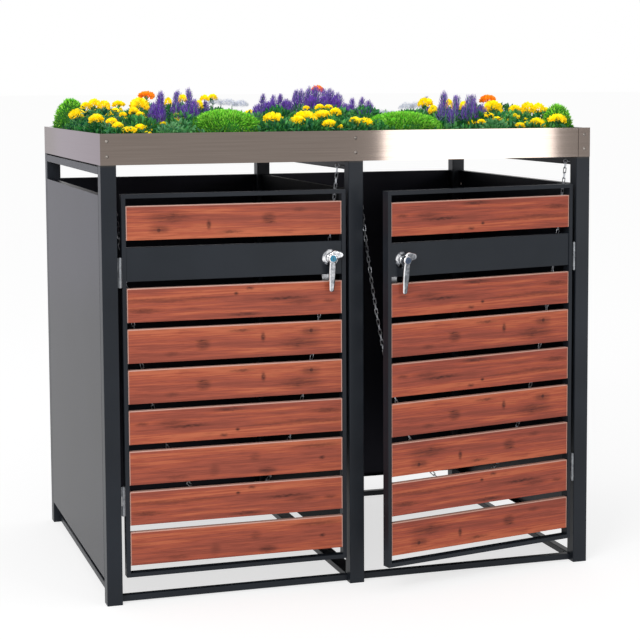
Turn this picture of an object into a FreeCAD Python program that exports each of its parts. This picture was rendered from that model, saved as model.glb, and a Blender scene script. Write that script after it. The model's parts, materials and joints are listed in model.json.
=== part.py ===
import FreeCAD, Part
import math
import os

V = FreeCAD.Vector

# A double wheelie bin store. Millimetres, +Z up, +Y towards the back, +X to the right.
# The origin is the centre of the underside of the front centre foot.

# Whole store
store_width = 1340.0
store_depth = 940.0
rim_height = 1200.0

# Posts and feet
post_size = 40.0
post_wall = 1.5
post_corner = 2.5
foot_thickness = 3.0
cap_thickness = 4.0
cap_skirt = 18.0
cap_skirt_clearance = 0.3

# Rails
base_rail_width = 20.0
base_rail_height = 16.0
top_rail_width = 20.0
top_rail_height = 20.0
rail_wall = 1.5
rail_corner = 1.5
rail_setback = 20.0
spigot_length = 45.0
spigot_clearance = 0.3
rail_bolt_inset = 22.0
rail_bolt_radius = 2.0
rail_bolt_head_radius = 4.2
rail_bolt_head_height = 2.2

# Wall panels, folded sheet with a lip on all four sides
panel_bottom = 63.0
panel_top = 1045.0
panel_sheet = 1.2
panel_lip = 20.0
divider_lip = 12.0
panel_screw_rows = 3
panel_screw_margin = 42.0
panel_screw_radius = 2.0
panel_screw_head_radius = 4.0
panel_screw_head_height = 2.0
panel_screw_length = 6.0

# Planter
planter_height = 79.0
planter_sheet = 1.5
planter_rim = 13.0
planter_foot_lip = 15.0
planter_wrap = 34.0
planter_joggle = 30.0
planter_bolt_low = 22.0
planter_bolt_high = 60.0
planter_bolt_inset = 17.0
planter_bolt_radius = 2.5
planter_bolt_head_radius = 4.5
planter_bolt_head_height = 2.6
planter_nut_radius = 4.6
planter_nut_thickness = 3.2
web_flange = 24.0
soil_top_below_rim = 16.0
soil_edge_gap = 15.0
soil_clearance = 0.5

# Doors
door_bottom = 70.0
door_top = 1048.0
hinge_gap = 11.0
latch_gap = 9.0
frame_face = 10.5
frame_depth = 25.0
frame_corner = 1.5
slat_height = 86.5
slat_gap = 17.5
slat_depth = 14.0
slat_sheet = 1.2
slat_edge_round = 1.0
slat_recess = 2.0
slat_count = 9
dark_slat_from_top = 2
rivet_radius = 2.0
rivet_head_radius = 3.8
rivet_head_height = 1.6
ajar_angle = 12.3

# Hinges
hinge_length = 75.0
hinge_low_centre = 268.0
hinge_high_centre = 851.0
knuckle_radius = 4.0
knuckle_gap = 0.3
hinge_pin_radius = 2.0
hinge_pin_head_radius = 3.0
hinge_pin_head_height = 1.5
running_clearance = 0.05
hinge_leaf = 1.2
hinge_leaf_depth = 22.0
hinge_wrap = 1.5

# Handles, latches and locks
handle_backset = 43.0
rose_radius = 22.0
rose_thickness = 3.0
rose_dome = 2.5
housing_radius = 9.0
housing_length = 20.0
housing_nut_width = 26.0
housing_nut_thickness = 5.0
spindle_radius = 5.0
hub_radius = 12.0
hub_length = 25.0
hub_gap = 0.3
hub_round = 3.0
lever_drop = 89.0
lever_root_width = 14.0
lever_belly_width = 18.0
lever_tip_width = 13.0
lever_thickness = 9.0
lever_round = 3.2
lever_rake = 8.0
wing_reach = 31.0
wing_lift = 8.0
wing_root_radius = 12.5
wing_root_overlap = 5.0
wing_tip_radius = 8.5
wing_thickness = 12.0
wing_round = 4.0
cam_thickness = 3.0
cam_width = 18.0
cam_reach = 76.0
cam_tip_round = 4.0
cam_post_clearance = 1.0
cam_screw_head_radius = 5.5
cam_screw_head_height = 3.0
lock_radius = 6.0
lock_length = 16.0
lock_key_slot_width = 1.6
lock_key_slot_length = 7.0
lock_key_slot_depth = 5.0

# Lid chains
chain_wire = 2.5
chain_link_width = 9.5
chain_pitch = 14.2
chain_slack = 0.3
chain_sag = 880.0
chain_behind_post = 32.0
eye_reach = 18.0
eye_ring_radius = 5.5
eye_wire = 2.6
eye_shank_radius = 1.6

# Planting
cover_thickness = 24.0
cover_edge_round = 10.0

# Places worked out from the sizes above
half_width = store_width / 2.0
front = -post_size / 2.0
back = front + store_depth
behind_front_posts = front + post_size
before_back_posts = back - post_size
bay_outer = half_width - post_size
bay_inner = post_size / 2.0
bay_width = bay_outer - bay_inner
planter_bottom = rim_height - planter_height
post_top = planter_bottom - cap_thickness
post_bottom = foot_thickness
rail_bottom = foot_thickness
top_rail_bottom = post_top - top_rail_height
post_rows = {"left": -half_width + post_size / 2.0, "centre": 0.0, "right": half_width - post_size / 2.0}

door_width = bay_width - hinge_gap - latch_gap
door_height = door_top - door_bottom
slat_length = door_width - 2.0 * frame_face
slat_stack = slat_count * slat_height + (slat_count - 1) * slat_gap
slat_margin = (door_height - slat_stack) / 2.0
slat_front = front + slat_recess
hinge_axis_y = front
hinge_axis_offset = hinge_gap / 2.0
dark_slat_index = slat_count - dark_slat_from_top
dark_slat_bottom = door_bottom + slat_margin + dark_slat_index * (slat_height + slat_gap)
handle_z = dark_slat_bottom + slat_height / 2.0
handle_offset = hinge_gap + door_width - handle_backset
rose_front = slat_front - rose_thickness - rose_dome
cam_front = behind_front_posts + cam_post_clearance
hub_back = rose_front - hub_gap
hub_front = hub_back - hub_length
chain_y = behind_front_posts + chain_behind_post
eye_z = post_top - top_rail_height / 2.0
soil_top = rim_height - soil_top_below_rim
cover_top = soil_top + cover_thickness
chain_end_z = eye_z - eye_ring_radius + eye_wire / 2.0


# Basic shapes

def block(xa, xb, ya, yb, za, zb):
    low = V(min(xa, xb), min(ya, yb), min(za, zb))
    return Part.makeBox(abs(xb - xa), abs(yb - ya), abs(zb - za), low)


def rod(radius, start, end):
    along = end.sub(start)
    return Part.makeCylinder(radius, along.Length, start, along)


def round_edges(shape, radius, keep):
    edges = [edge for edge in shape.Edges if keep(edge)]
    return shape.makeFillet(radius, edges)


def runs_along(edge, axis):
    start = edge.Vertexes[0].Point
    end = edge.Vertexes[-1].Point
    step = end.sub(start)
    return step.Length > 1.0e-6 and abs(abs(step.dot(axis)) - step.Length) < 1.0e-6


def tube(xa, xb, ya, yb, za, zb, axis, wall, corner):
    # A square tube that is open at both ends of its axis.
    outer = round_edges(block(xa, xb, ya, yb, za, zb), corner, lambda edge: runs_along(edge, axis))
    inset = [wall * (1.0 - abs(axis.x)), wall * (1.0 - abs(axis.y)), wall * (1.0 - abs(axis.z))]
    x_low, x_high = min(xa, xb) + inset[0], max(xa, xb) - inset[0]
    y_low, y_high = min(ya, yb) + inset[1], max(ya, yb) - inset[1]
    z_low, z_high = min(za, zb) + inset[2], max(za, zb) - inset[2]
    return outer.cut(block(x_low, x_high, y_low, y_high, z_low, z_high))


def dome_screw(seat, outward, head_radius, head_height, shank_radius, shank_length):
    # A dome head that stands on its seat, with a plain shank behind it.
    half_chord = head_radius
    sphere_radius = (half_chord ** 2 + head_height ** 2) / (2.0 * head_height)
    top = V(0, 0, head_height)
    bow_height = head_height - sphere_radius + math.sqrt(sphere_radius ** 2 - head_radius ** 2 / 2.0)
    bow = V(head_radius * 0.707, 0, bow_height)
    rim = V(head_radius, 0, 0)
    arc = Part.Arc(top, bow, rim).toShape()
    base = Part.LineSegment(rim, V(0, 0, 0)).toShape()
    axis = Part.LineSegment(V(0, 0, 0), top).toShape()
    head = Part.Face(Part.Wire([arc, base, axis])).revolve(V(0, 0, 0), V(0, 0, 1), 360)
    shank = Part.makeCylinder(shank_radius, shank_length + 0.5, V(0, 0, -shank_length))
    screw = head.fuse(shank).removeSplitter()
    turn = FreeCAD.Rotation(V(0, 0, 1), outward)
    screw.Placement = FreeCAD.Placement(seat, turn)
    return screw


def drill(shape, seats, direction, radius, depth):
    # Holes that start a little before each seat and run against the screw's outward direction.
    holes = []
    for seat in seats:
        start = seat.add(V(direction).multiply(1.0))
        holes.append(rod(radius, start, seat.sub(V(direction).multiply(depth))))
    return shape.cut(Part.makeCompound(holes))


def group(solids):
    return Part.makeCompound(solids)


# Frame

def post_centre(row, end):
    return V(post_rows[row], 0.0 if end == "front" else back - post_size / 2.0, 0)


def post(row, end):
    centre = post_centre(row, end)
    half = post_size / 2.0
    body = tube(centre.x - half, centre.x + half, centre.y - half, centre.y + half,
                post_bottom, post_top, V(0, 0, 1), post_wall, post_corner)
    for seats, outward in panel_screw_seats():
        own = seats_near(seats, centre)
        body = drill(body, own, outward, panel_screw_radius + 0.2, panel_screw_length + 1.0)
    return body


def seats_near(seats, centre):
    return [seat for seat in seats
            if abs(seat.x - centre.x) <= post_size and abs(seat.y - centre.y) <= post_size]


def foot_plate(centre):
    half = post_size / 2.0
    plate = block(centre.x - half, centre.x + half, centre.y - half, centre.y + half, 0, foot_thickness)
    return round_edges(plate, post_corner, lambda edge: runs_along(edge, V(0, 0, 1)))


def post_cap(centre):
    half = post_size / 2.0
    lid = block(centre.x - half, centre.x + half, centre.y - half, centre.y + half,
                post_top, planter_bottom)
    lid = round_edges(lid, post_corner, lambda edge: runs_along(edge, V(0, 0, 1)))
    inner = half - post_wall - cap_skirt_clearance
    skirt = block(centre.x - inner, centre.x + inner, centre.y - inner, centre.y + inner,
                  post_top - cap_skirt, post_top)
    hollow = block(centre.x - inner + post_wall, centre.x + inner - post_wall, centre.y - inner + post_wall,
                   centre.y + inner - post_wall, post_top - cap_skirt, post_top)
    return lid.fuse(skirt.cut(hollow)).removeSplitter()


def all_post_centres():
    return [post_centre(row, end) for end in ("front", "back") for row in ("left", "centre", "right")]


def cross_rail_y(end):
    # The rails across the store stand back from the outer faces of the posts.
    if end == "front":
        return front + rail_setback, front + rail_setback + base_rail_width
    return back - rail_setback - base_rail_width, back - rail_setback


def side_rail_x(row):
    outer = half_width - rail_setback
    spans = {"left": (-outer, -outer + base_rail_width), "right": (outer - base_rail_width, outer),
             "centre": (-post_size / 2.0, post_size / 2.0)}
    return spans[row]


def top_rail_x(row):
    spans = {"left": (-half_width, -half_width + top_rail_width),
             "right": (half_width - top_rail_width, half_width),
             "centre": (-top_rail_width / 2.0, top_rail_width / 2.0)}
    return spans[row]


def rail_layout():
    # Each rail: its node, its box and the axis that it runs along.
    rails = []
    for end in ("front", "back"):
        y_low, y_high = cross_rail_y(end)
        for x_low, x_high in ((-bay_outer, -bay_inner), (bay_inner, bay_outer)):
            rails.append(("base_rails_" + end, (x_low, x_high, y_low, y_high,
                                                rail_bottom, rail_bottom + base_rail_height), V(1, 0, 0)))
    for row in ("left", "centre", "right"):
        x_low, x_high = side_rail_x(row)
        rails.append(("base_rail_" + row, (x_low, x_high, behind_front_posts, before_back_posts,
                                           rail_bottom, rail_bottom + base_rail_height), V(0, 1, 0)))
        x_low, x_high = top_rail_x(row)
        rails.append(("top_rail_" + row, (x_low, x_high, behind_front_posts, before_back_posts,
                                          top_rail_bottom, post_top), V(0, 1, 0)))
    return rails


def rail_bolt_outward(box, axis):
    # The bolt heads sit on the face of the rail that looks into the store.
    if axis.x:
        return V(0, 1 if box[2] < store_depth / 2.0 else -1, 0)
    return V(1 if box[0] < 0 else -1, 0, 0)


def rail_bolt_seats(box, axis):
    x_low, x_high, y_low, y_high, z_low, z_high = box
    z = (z_low + z_high) / 2.0
    outward = rail_bolt_outward(box, axis)
    if axis.x:
        y = y_low if outward.y < 0 else y_high
        return [V(x_low + rail_bolt_inset, y, z), V(x_high - rail_bolt_inset, y, z)]
    x = x_low if outward.x < 0 else x_high
    return [V(x, y_low + rail_bolt_inset, z), V(x, y_high - rail_bolt_inset, z)]


def rail(box, axis):
    body = tube(*box, axis, rail_wall, rail_corner)
    outward = rail_bolt_outward(box, axis)
    return drill(body, rail_bolt_seats(box, axis), outward, rail_bolt_radius + 0.1, rail_wall + 1.0)


def rail_spigots(box, axis):
    # A solid bar at each end, welded to the post, that fills the tube less a clearance.
    grow = rail_wall + spigot_clearance
    x_low, x_high, y_low, y_high, z_low, z_high = box
    spigots = []
    for at_low_end in (True, False):
        if axis.x:
            xs = (x_low, x_low + spigot_length) if at_low_end else (x_high - spigot_length, x_high)
            bar = block(xs[0], xs[1], y_low + grow, y_high - grow, z_low + grow, z_high - grow)
        else:
            ys = (y_low, y_low + spigot_length) if at_low_end else (y_high - spigot_length, y_high)
            bar = block(x_low + grow, x_high - grow, ys[0], ys[1], z_low + grow, z_high - grow)
        seat = rail_bolt_seats(box, axis)[0 if at_low_end else 1]
        outward = rail_bolt_outward(box, axis)
        spigots.append(drill(bar, [seat], outward, rail_bolt_radius + 0.1, rail_wall + 7.0))
    return spigots


def rail_bolts(box, axis):
    outward = rail_bolt_outward(box, axis)
    shank_length = rail_wall + 6.0
    head = (rail_bolt_head_radius, rail_bolt_head_height)
    return [dome_screw(seat, outward, *head, rail_bolt_radius, shank_length)
            for seat in rail_bolt_seats(box, axis)]


# Wall panels

def cassette(xa, xb, ya, yb, normal, lip, sheet):
    # A sheet at the outer side of its box, with lips folded inwards on all four edges.
    outer = block(xa, xb, ya, yb, panel_bottom, panel_top)
    x_low, x_high, y_low, y_high = min(xa, xb), max(xa, xb), min(ya, yb), max(ya, yb)
    if normal.x:
        y_low, y_high = y_low + sheet, y_high - sheet
        x_low, x_high = (x_low + sheet, x_high) if normal.x < 0 else (x_low, x_high - sheet)
        window = lip if normal.x < 0 else -lip
    else:
        x_low, x_high = x_low + sheet, x_high - sheet
        y_low, y_high = (y_low + sheet, y_high) if normal.y < 0 else (y_low, y_high - sheet)
        window = lip if normal.y < 0 else -lip
    hollow = block(x_low, x_high, y_low, y_high, panel_bottom + sheet, panel_top - sheet)
    reach = abs(window)
    low, high = panel_bottom + sheet, panel_top - sheet
    if normal.x:
        mouth_x = x_low if normal.x > 0 else x_high
        mouth = block(mouth_x, mouth_x - reach if normal.x > 0 else mouth_x + reach, y_low, y_high, low, high)
    else:
        mouth_y = y_low if normal.y > 0 else y_high
        mouth = block(x_low, x_high, mouth_y, mouth_y - reach if normal.y > 0 else mouth_y + reach, low, high)
    return outer.cut(hollow.fuse(mouth))


def screw_heights():
    low = panel_bottom + panel_screw_margin
    high = panel_top - panel_screw_margin
    return [low + (high - low) * step / (panel_screw_rows - 1.0) for step in range(panel_screw_rows)]


def panel_screw_seats():
    # The screw seats on the panel lips, listed with the way that the heads face.
    lip_x = {"left": -half_width + panel_lip / 2.0, "right": half_width - panel_lip / 2.0, "centre": 0.0}
    lip_y = back - panel_lip / 2.0
    front_seats = [V(x, behind_front_posts + panel_sheet, z)
                   for x in lip_x.values() for z in screw_heights()]
    back_seats = [V(x, before_back_posts - panel_sheet, z) for x in lip_x.values() for z in screw_heights()]
    towards_right = [V(x + panel_sheet, lip_y, z) for x in (-bay_outer, bay_inner) for z in screw_heights()]
    towards_left = [V(x - panel_sheet, lip_y, z) for x in (-bay_inner, bay_outer) for z in screw_heights()]
    return [(front_seats, V(0, 1, 0)), (back_seats, V(0, -1, 0)),
            (towards_right, V(1, 0, 0)), (towards_left, V(-1, 0, 0))]


def drill_panel(panel):
    for seats, outward in panel_screw_seats():
        near = [seat for seat in seats if seat_on(panel, seat, outward)]
        if near:
            panel = drill(panel, near, outward, panel_screw_radius + 0.2, panel_sheet + 0.5)
    return panel


def seat_on(panel, seat, outward):
    inside = seat.sub(V(outward).multiply(panel_sheet / 2.0))
    return panel.isInside(inside, 0.01, True)


def side_panel(row):
    outer = post_rows[row] + (-post_size / 2.0 if row == "left" else post_size / 2.0)
    inner = outer + (panel_lip if row == "left" else -panel_lip)
    normal = V(-1, 0, 0) if row == "left" else V(1, 0, 0)
    panel = cassette(outer, inner, behind_front_posts, before_back_posts, normal, panel_lip, panel_sheet)
    return drill_panel(panel)


def divider_panel():
    half = divider_lip / 2.0
    outward = V(-1, 0, 0)
    panel = cassette(-half, half, behind_front_posts, before_back_posts, outward, divider_lip, panel_sheet)
    return drill_panel(panel)


def back_panel(row):
    near = -bay_outer if row == "left" else bay_inner
    panel = cassette(near, near + bay_width, back - panel_lip, back, V(0, 1, 0), panel_lip, panel_sheet)
    return drill_panel(panel)


def panel_screws():
    screws = []
    for seats, outward in panel_screw_seats():
        for seat in seats:
            screws.append(dome_screw(seat, outward, panel_screw_head_radius, panel_screw_head_height,
                                     panel_screw_radius, panel_screw_length))
    return screws


# Planter roof

def planter_cross_panel(end):
    # The front fascia lies behind the side wraps, and the back fascia wraps round the sides.
    towards = 1.0 if end == "front" else -1.0
    face = front + planter_sheet if end == "front" else back
    width = half_width - planter_sheet if end == "front" else half_width
    inner = face + towards * planter_sheet
    sheet = block(-width, width, face, inner, planter_bottom, rim_height)
    rim_width = half_width - planter_sheet
    rim_bottom = rim_height - planter_sheet
    rim = block(-rim_width, rim_width, face, face + towards * planter_rim, rim_bottom, rim_height)
    lip = block(-rim_width, rim_width, face, face + towards * planter_foot_lip,
                planter_bottom, planter_bottom + planter_sheet)
    panel = sheet.fuse([rim, lip])
    if end == "back":
        for side in (-1.0, 1.0):
            wrap = block(side * half_width, side * (half_width - planter_sheet), back - planter_wrap, back,
                         planter_bottom, rim_height)
            panel = panel.fuse(wrap)
    panel = panel.removeSplitter()
    seats = planter_bolt_seats(end)
    return drill(panel, seats, V(0, -towards, 0), planter_bolt_radius + 0.2, 2.0 * planter_sheet + 1.0)


def planter_side_panel(row):
    side = -1.0 if row == "left" else 1.0
    outer = side * half_width
    inner = side * (half_width - planter_sheet)
    back_end = back - planter_wrap - soil_clearance
    sheet = block(outer, inner, front, back_end, planter_bottom, rim_height)
    wrap = block(outer, side * (half_width - planter_wrap), front, front + planter_sheet,
                 planter_bottom, rim_height)
    rim_start = front + planter_sheet + planter_rim
    rim_end = back - planter_rim
    rim = block(inner, side * (half_width - planter_rim), rim_start, rim_end,
                rim_height - planter_sheet, rim_height)
    lip = block(inner, side * (half_width - planter_foot_lip), front + planter_sheet + planter_foot_lip,
                back - planter_foot_lip, planter_bottom, planter_bottom + planter_sheet)
    joggle = block(inner, side * (half_width - 2.0 * planter_sheet), back_end - planter_joggle,
                   back - 2.0 * planter_sheet, planter_bottom + planter_sheet, rim_height - planter_sheet)
    panel = sheet.fuse([wrap, rim, lip, joggle]).removeSplitter()
    seats = planter_bolt_seats("front")
    return drill(panel, seats, V(0, -1, 0), planter_bolt_radius + 0.2, planter_sheet + 1.0)


def planter_bolt_seats(end):
    # A pair of bolts at each corner and a pair at the centre web, seated on the outermost sheet.
    corner = half_width - planter_bolt_inset
    seats = []
    for x in (-corner, 0.0, corner):
        if end == "front":
            y = front + planter_sheet if x == 0.0 else front
        else:
            y = back
        for height in (planter_bolt_low, planter_bolt_high):
            seats.append(V(x, y, planter_bottom + height))
    return seats


def planter_bolt(seat, end):
    outward = V(0, -1, 0) if end == "front" else V(0, 1, 0)
    at_middle = abs(seat.x) < 1.0
    layers = 2.0 if at_middle or end == "front" else 1.0
    grip = layers * planter_sheet
    bolt = dome_screw(seat, outward, planter_bolt_head_radius, planter_bolt_head_height,
                      planter_bolt_radius, grip + planter_nut_thickness + 1.0)
    start = seat.sub(V(outward).multiply(grip))
    nut = hexagon_prism(start, V(outward).multiply(-1.0), planter_nut_radius, planter_nut_thickness)
    return bolt.fuse(nut).removeSplitter()


def hexagon_prism(start, direction, radius, length):
    corners = [V(radius * math.cos(math.radians(60 * k)), radius * math.sin(math.radians(60 * k)), 0)
               for k in range(7)]
    prism = Part.Face(Part.makePolygon(corners)).extrude(V(0, 0, length))
    prism.Placement = FreeCAD.Placement(start, FreeCAD.Rotation(V(0, 0, 1), direction))
    return prism


def planter_floor():
    inset = 2.0 * planter_sheet + soil_clearance
    floor = block(-half_width + inset, half_width - inset, front + inset, back - inset,
                  planter_bottom + planter_sheet, planter_bottom + 2.0 * planter_sheet)
    return floor


def planter_web():
    # An upright sheet across the middle of the planter, with a bolted flange at each end.
    half = planter_sheet / 2.0
    low = planter_bottom + 2.0 * planter_sheet
    high = rim_height - 2.0 * planter_sheet
    start = front + 2.0 * planter_sheet
    end = back - planter_sheet
    web = block(-half, half, start, end, low, high)
    flange_front = block(-web_flange / 2.0, web_flange / 2.0, start, start + planter_sheet, low, high)
    flange_back = block(-web_flange / 2.0, web_flange / 2.0, end - planter_sheet, end, low, high)
    web = web.fuse([flange_front, flange_back]).removeSplitter()
    passage = [bolt_passage(seat) for end_name in ("front", "back") for seat in planter_bolt_seats(end_name)
               if abs(seat.x) < 1.0]
    return web.cut(group(passage))


def bolt_passage(seat):
    # Room for a bolt and its nut through the middle flange and the web behind it.
    inwards = 1.0 if seat.y < store_depth / 2.0 else -1.0
    start = V(seat.x, seat.y, seat.z)
    hole = rod(planter_bolt_radius + 0.2, start, start.add(V(0, inwards * 3.0 * planter_sheet, 0)))
    nut_start = start.add(V(0, inwards * 2.0 * planter_sheet, 0))
    nut_end = nut_start.add(V(0, inwards * (planter_nut_thickness + 2.0), 0))
    nut_room = rod(planter_nut_radius + 0.5, nut_start, nut_end)
    return hole.fuse(nut_room)


def soil_bed(side):
    near = planter_sheet / 2.0 + soil_clearance
    far = half_width - soil_edge_gap
    return block(side * near, side * far, front + soil_edge_gap + planter_sheet, back - soil_edge_gap,
                 planter_bottom + 2.0 * planter_sheet, soil_top)


def ground_cover(side):
    near = planter_sheet / 2.0 + soil_clearance
    far = half_width - soil_edge_gap
    bed = block(side * near, side * far, front + soil_edge_gap + planter_sheet, back - soil_edge_gap,
                soil_top, cover_top)
    top = lambda edge: all(abs(vertex.Z - cover_top) < 0.01 for vertex in edge.Vertexes)
    return round_edges(bed, cover_edge_round, top)


# Planting, in clumps that stand on the ground cover

def turned_form(x, y, poles):
    # A closed form on a flat foot: a smooth curve from the rim of the foot to the crown, turned about
    # its middle.
    curve = Part.BezierCurve()
    curve.setPoles([V(radius, 0, height) for radius, height in poles])
    rim = V(poles[0][0], 0, 0)
    crown = V(0, 0, poles[-1][1])
    axis = Part.LineSegment(crown, V(0, 0, 0)).toShape()
    base = Part.LineSegment(V(0, 0, 0), rim).toShape()
    form = Part.Face(Part.Wire([curve.toShape(), axis, base])).revolve(V(0, 0, 0), V(0, 0, 1), 360)
    form.translate(V(x, y, cover_top))
    return form


def mound(x, y, radius, height):
    return turned_form(x, y, [(radius, 0), (radius, height * 0.55), (radius * 0.55, height), (0, height)])


def spire(x, y, radius, height):
    return turned_form(x, y, [(radius, 0), (radius, height * 0.7), (radius * 0.35, height), (0, height)])


def mirrored(places):
    # Planting is the same on both sides of the middle.
    return [(side * x, y, radius, height) for side in (-1.0, 1.0) for x, y, radius, height in places]


cushion_places = [(620, 60, 28, 34), (300, 40, 42, 34), (210, 62, 44, 40), (560, 420, 64, 46),
                  (300, 330, 74, 46), (600, 780, 50, 40), (180, 700, 66, 44), (420, 840, 44, 38)]
marigold_places = [(560, 40, 30, 60), (490, 46, 34, 62), (585, 130, 40, 66), (500, 140, 42, 70),
                   (130, 36, 32, 40), (60, 40, 34, 42), (600, 250, 44, 66), (480, 540, 60, 66),
                   (110, 520, 56, 62), (330, 830, 44, 60)]
salvia_places = [(415, 60, 36, 92), (370, 130, 30, 96), (90, 150, 46, 108), (450, 300, 44, 96),
                 (120, 340, 50, 104), (300, 620, 60, 98), (560, 640, 48, 92), (80, 820, 44, 96)]
alyssum_places = [(300, 150, 36, 58), (210, 190, 34, 52), (400, 440, 46, 50), (60, 640, 34, 46),
                  (500, 800, 34, 50)]


def plant_clumps(places, shape):
    return group([shape(x, y, radius, height) for x, y, radius, height in mirrored(places)])


# Doors. Distances run from the inner face of the hinge post, on either side of the store.

def from_post(side, distance):
    return side * (bay_outer - distance)


def hang_ajar(shape, side):
    # The right door stands ajar at rest, turned about its hinge pins.
    if side > 0:
        shape.rotate(V(from_post(side, hinge_axis_offset), hinge_axis_y, 0), V(0, 0, 1), ajar_angle)
    return shape


def slat_bottoms():
    return [door_bottom + slat_margin + row * (slat_height + slat_gap) for row in range(slat_count)]


def rivet_seats(side):
    # One rivet in each end flange of each slat, with the way that its head faces.
    y = slat_front + slat_depth - 2.0 * rivet_head_radius + 1.0
    near = [V(from_post(side, hinge_gap + frame_face + slat_sheet), y, low + slat_height / 2.0)
            for low in slat_bottoms()]
    far = [V(from_post(side, hinge_gap + door_width - frame_face - slat_sheet), y, low + slat_height / 2.0)
           for low in slat_bottoms()]
    return [(near, V(-side, 0, 0)), (far, V(side, 0, 0))]


def door_frame(side):
    # Flat bars on edge, welded at the corners.
    xa = from_post(side, hinge_gap)
    xb = from_post(side, hinge_gap + door_width)
    outer = block(xa, xb, front, front + frame_depth, door_bottom, door_top)
    outer = round_edges(outer, frame_corner, lambda edge: runs_along(edge, V(0, 1, 0)))
    xa = from_post(side, hinge_gap + frame_face)
    xb = from_post(side, hinge_gap + door_width - frame_face)
    opening = block(xa, xb, front, front + frame_depth, door_bottom + frame_face, door_top - frame_face)
    frame = outer.cut(opening)
    for seats, outward in rivet_seats(side):
        frame = drill(frame, seats, outward, rivet_radius + 0.1, slat_sheet + frame_face / 2.0)
    return frame


def slat(side, low):
    # A folded tray: a face with a flange on all four edges, open at the back.
    xa = from_post(side, hinge_gap + frame_face)
    xb = from_post(side, hinge_gap + door_width - frame_face)
    tray = block(xa, xb, slat_front, slat_front + slat_depth, low, low + slat_height)
    face_edges = lambda edge: all(abs(vertex.Y - slat_front) < 0.01 for vertex in edge.Vertexes)
    tray = round_edges(tray, slat_edge_round, face_edges)
    x_low, x_high = min(xa, xb) + slat_sheet, max(xa, xb) - slat_sheet
    hollow = block(x_low, x_high, slat_front + slat_sheet, slat_front + slat_depth,
                   low + slat_sheet, low + slat_height - slat_sheet)
    tray = tray.cut(hollow)
    for seats, outward in rivet_seats(side):
        level = [seat for seat in seats if low < seat.z < low + slat_height]
        tray = drill(tray, level, outward, rivet_radius + 0.1, slat_sheet + 0.5)
    return tray


def door_slats(side):
    lows = [low for row, low in enumerate(slat_bottoms()) if row != dark_slat_index]
    return group([slat(side, low) for low in lows])


def door_panel(side):
    # The plain dark tray carries the handle, so it has a hole for the handle's housing.
    axis = handle_axis(side)
    hole = rod(housing_radius + 0.3, V(axis.x, front, axis.z), V(axis.x, front + frame_depth, axis.z))
    return slat(side, dark_slat_bottom).cut(hole)


def door_rivets(side):
    rivets = []
    for seats, outward in rivet_seats(side):
        for seat in seats:
            rivets.append(dome_screw(seat, outward, rivet_head_radius, rivet_head_height,
                                     rivet_radius, slat_sheet + frame_face / 2.0 - 0.5))
    return group(rivets)


# Hinges. The post leaf has the two outer knuckles and the door leaf has the middle one.

def hinge_centres():
    return [hinge_low_centre, hinge_high_centre]


def knuckle_spans(centre):
    low = centre - hinge_length / 2.0
    third = hinge_length / 3.0
    return [(low + k * third + (knuckle_gap / 2.0 if k else 0.0),
             low + (k + 1) * third - (knuckle_gap / 2.0 if k < 2 else 0.0)) for k in range(3)]


def hinge_leaf_solid(side, centre, on_post):
    axis_x = from_post(side, hinge_axis_offset)
    face_x = from_post(side, 0.0 if on_post else hinge_gap)
    inner_x = from_post(side, hinge_leaf if on_post else hinge_gap - hinge_leaf)
    low = centre - hinge_length / 2.0
    wrap_back = hinge_axis_y + knuckle_radius
    leaf = block(face_x, inner_x, wrap_back - hinge_wrap, front + hinge_leaf_depth, low, low + hinge_length)
    solid = leaf
    spans = knuckle_spans(centre)
    for za, zb in ([spans[0], spans[2]] if on_post else [spans[1]]):
        wrap = block(face_x, axis_x, wrap_back - hinge_wrap, wrap_back, za, zb)
        barrel = Part.makeCylinder(knuckle_radius, zb - za, V(axis_x, hinge_axis_y, za))
        solid = solid.fuse([wrap, barrel])
    bore = Part.makeCylinder(hinge_pin_radius + running_clearance, hinge_length, V(axis_x, hinge_axis_y, low))
    return solid.cut(bore).removeSplitter()


def hinge_pin(side, centre):
    axis_x = from_post(side, hinge_axis_offset)
    low = centre - hinge_length / 2.0
    pin = Part.makeCylinder(hinge_pin_radius, hinge_length, V(axis_x, hinge_axis_y, low))
    top = V(axis_x, hinge_axis_y, low + hinge_length)
    head = Part.makeCylinder(hinge_pin_head_radius, hinge_pin_head_height, top)
    return pin.fuse(head).removeSplitter()


# Handles. Each is drawn upright on its own axis, then placed.

def handle_axis(side):
    return V(from_post(side, handle_offset), 0, handle_z)


def handle_rose(side):
    # A stepped round rose, with a threaded housing through the panel and a nut behind it.
    axis = handle_axis(side)
    disc = rod(rose_radius, V(axis.x, slat_front, axis.z), V(axis.x, slat_front - rose_thickness, axis.z))
    dome = Part.makeCone(rose_radius - 2.0, rose_radius * 0.62, rose_dome,
                         V(axis.x, slat_front - rose_thickness, axis.z), V(0, -1, 0))
    housing_end = V(axis.x, slat_front + housing_length, axis.z)
    housing = rod(housing_radius, V(axis.x, slat_front, axis.z), housing_end)
    nut_start = V(axis.x, slat_front + slat_sheet, axis.z)
    nut = hexagon_prism(nut_start, V(0, 1, 0), housing_nut_width / 2.0, housing_nut_thickness)
    bore = rod(spindle_radius + running_clearance, V(axis.x, rose_front - 1.0, axis.z),
               V(axis.x, slat_front + housing_length + 1.0, axis.z))
    return disc.fuse([dome, housing, nut]).cut(bore).removeSplitter()


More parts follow.
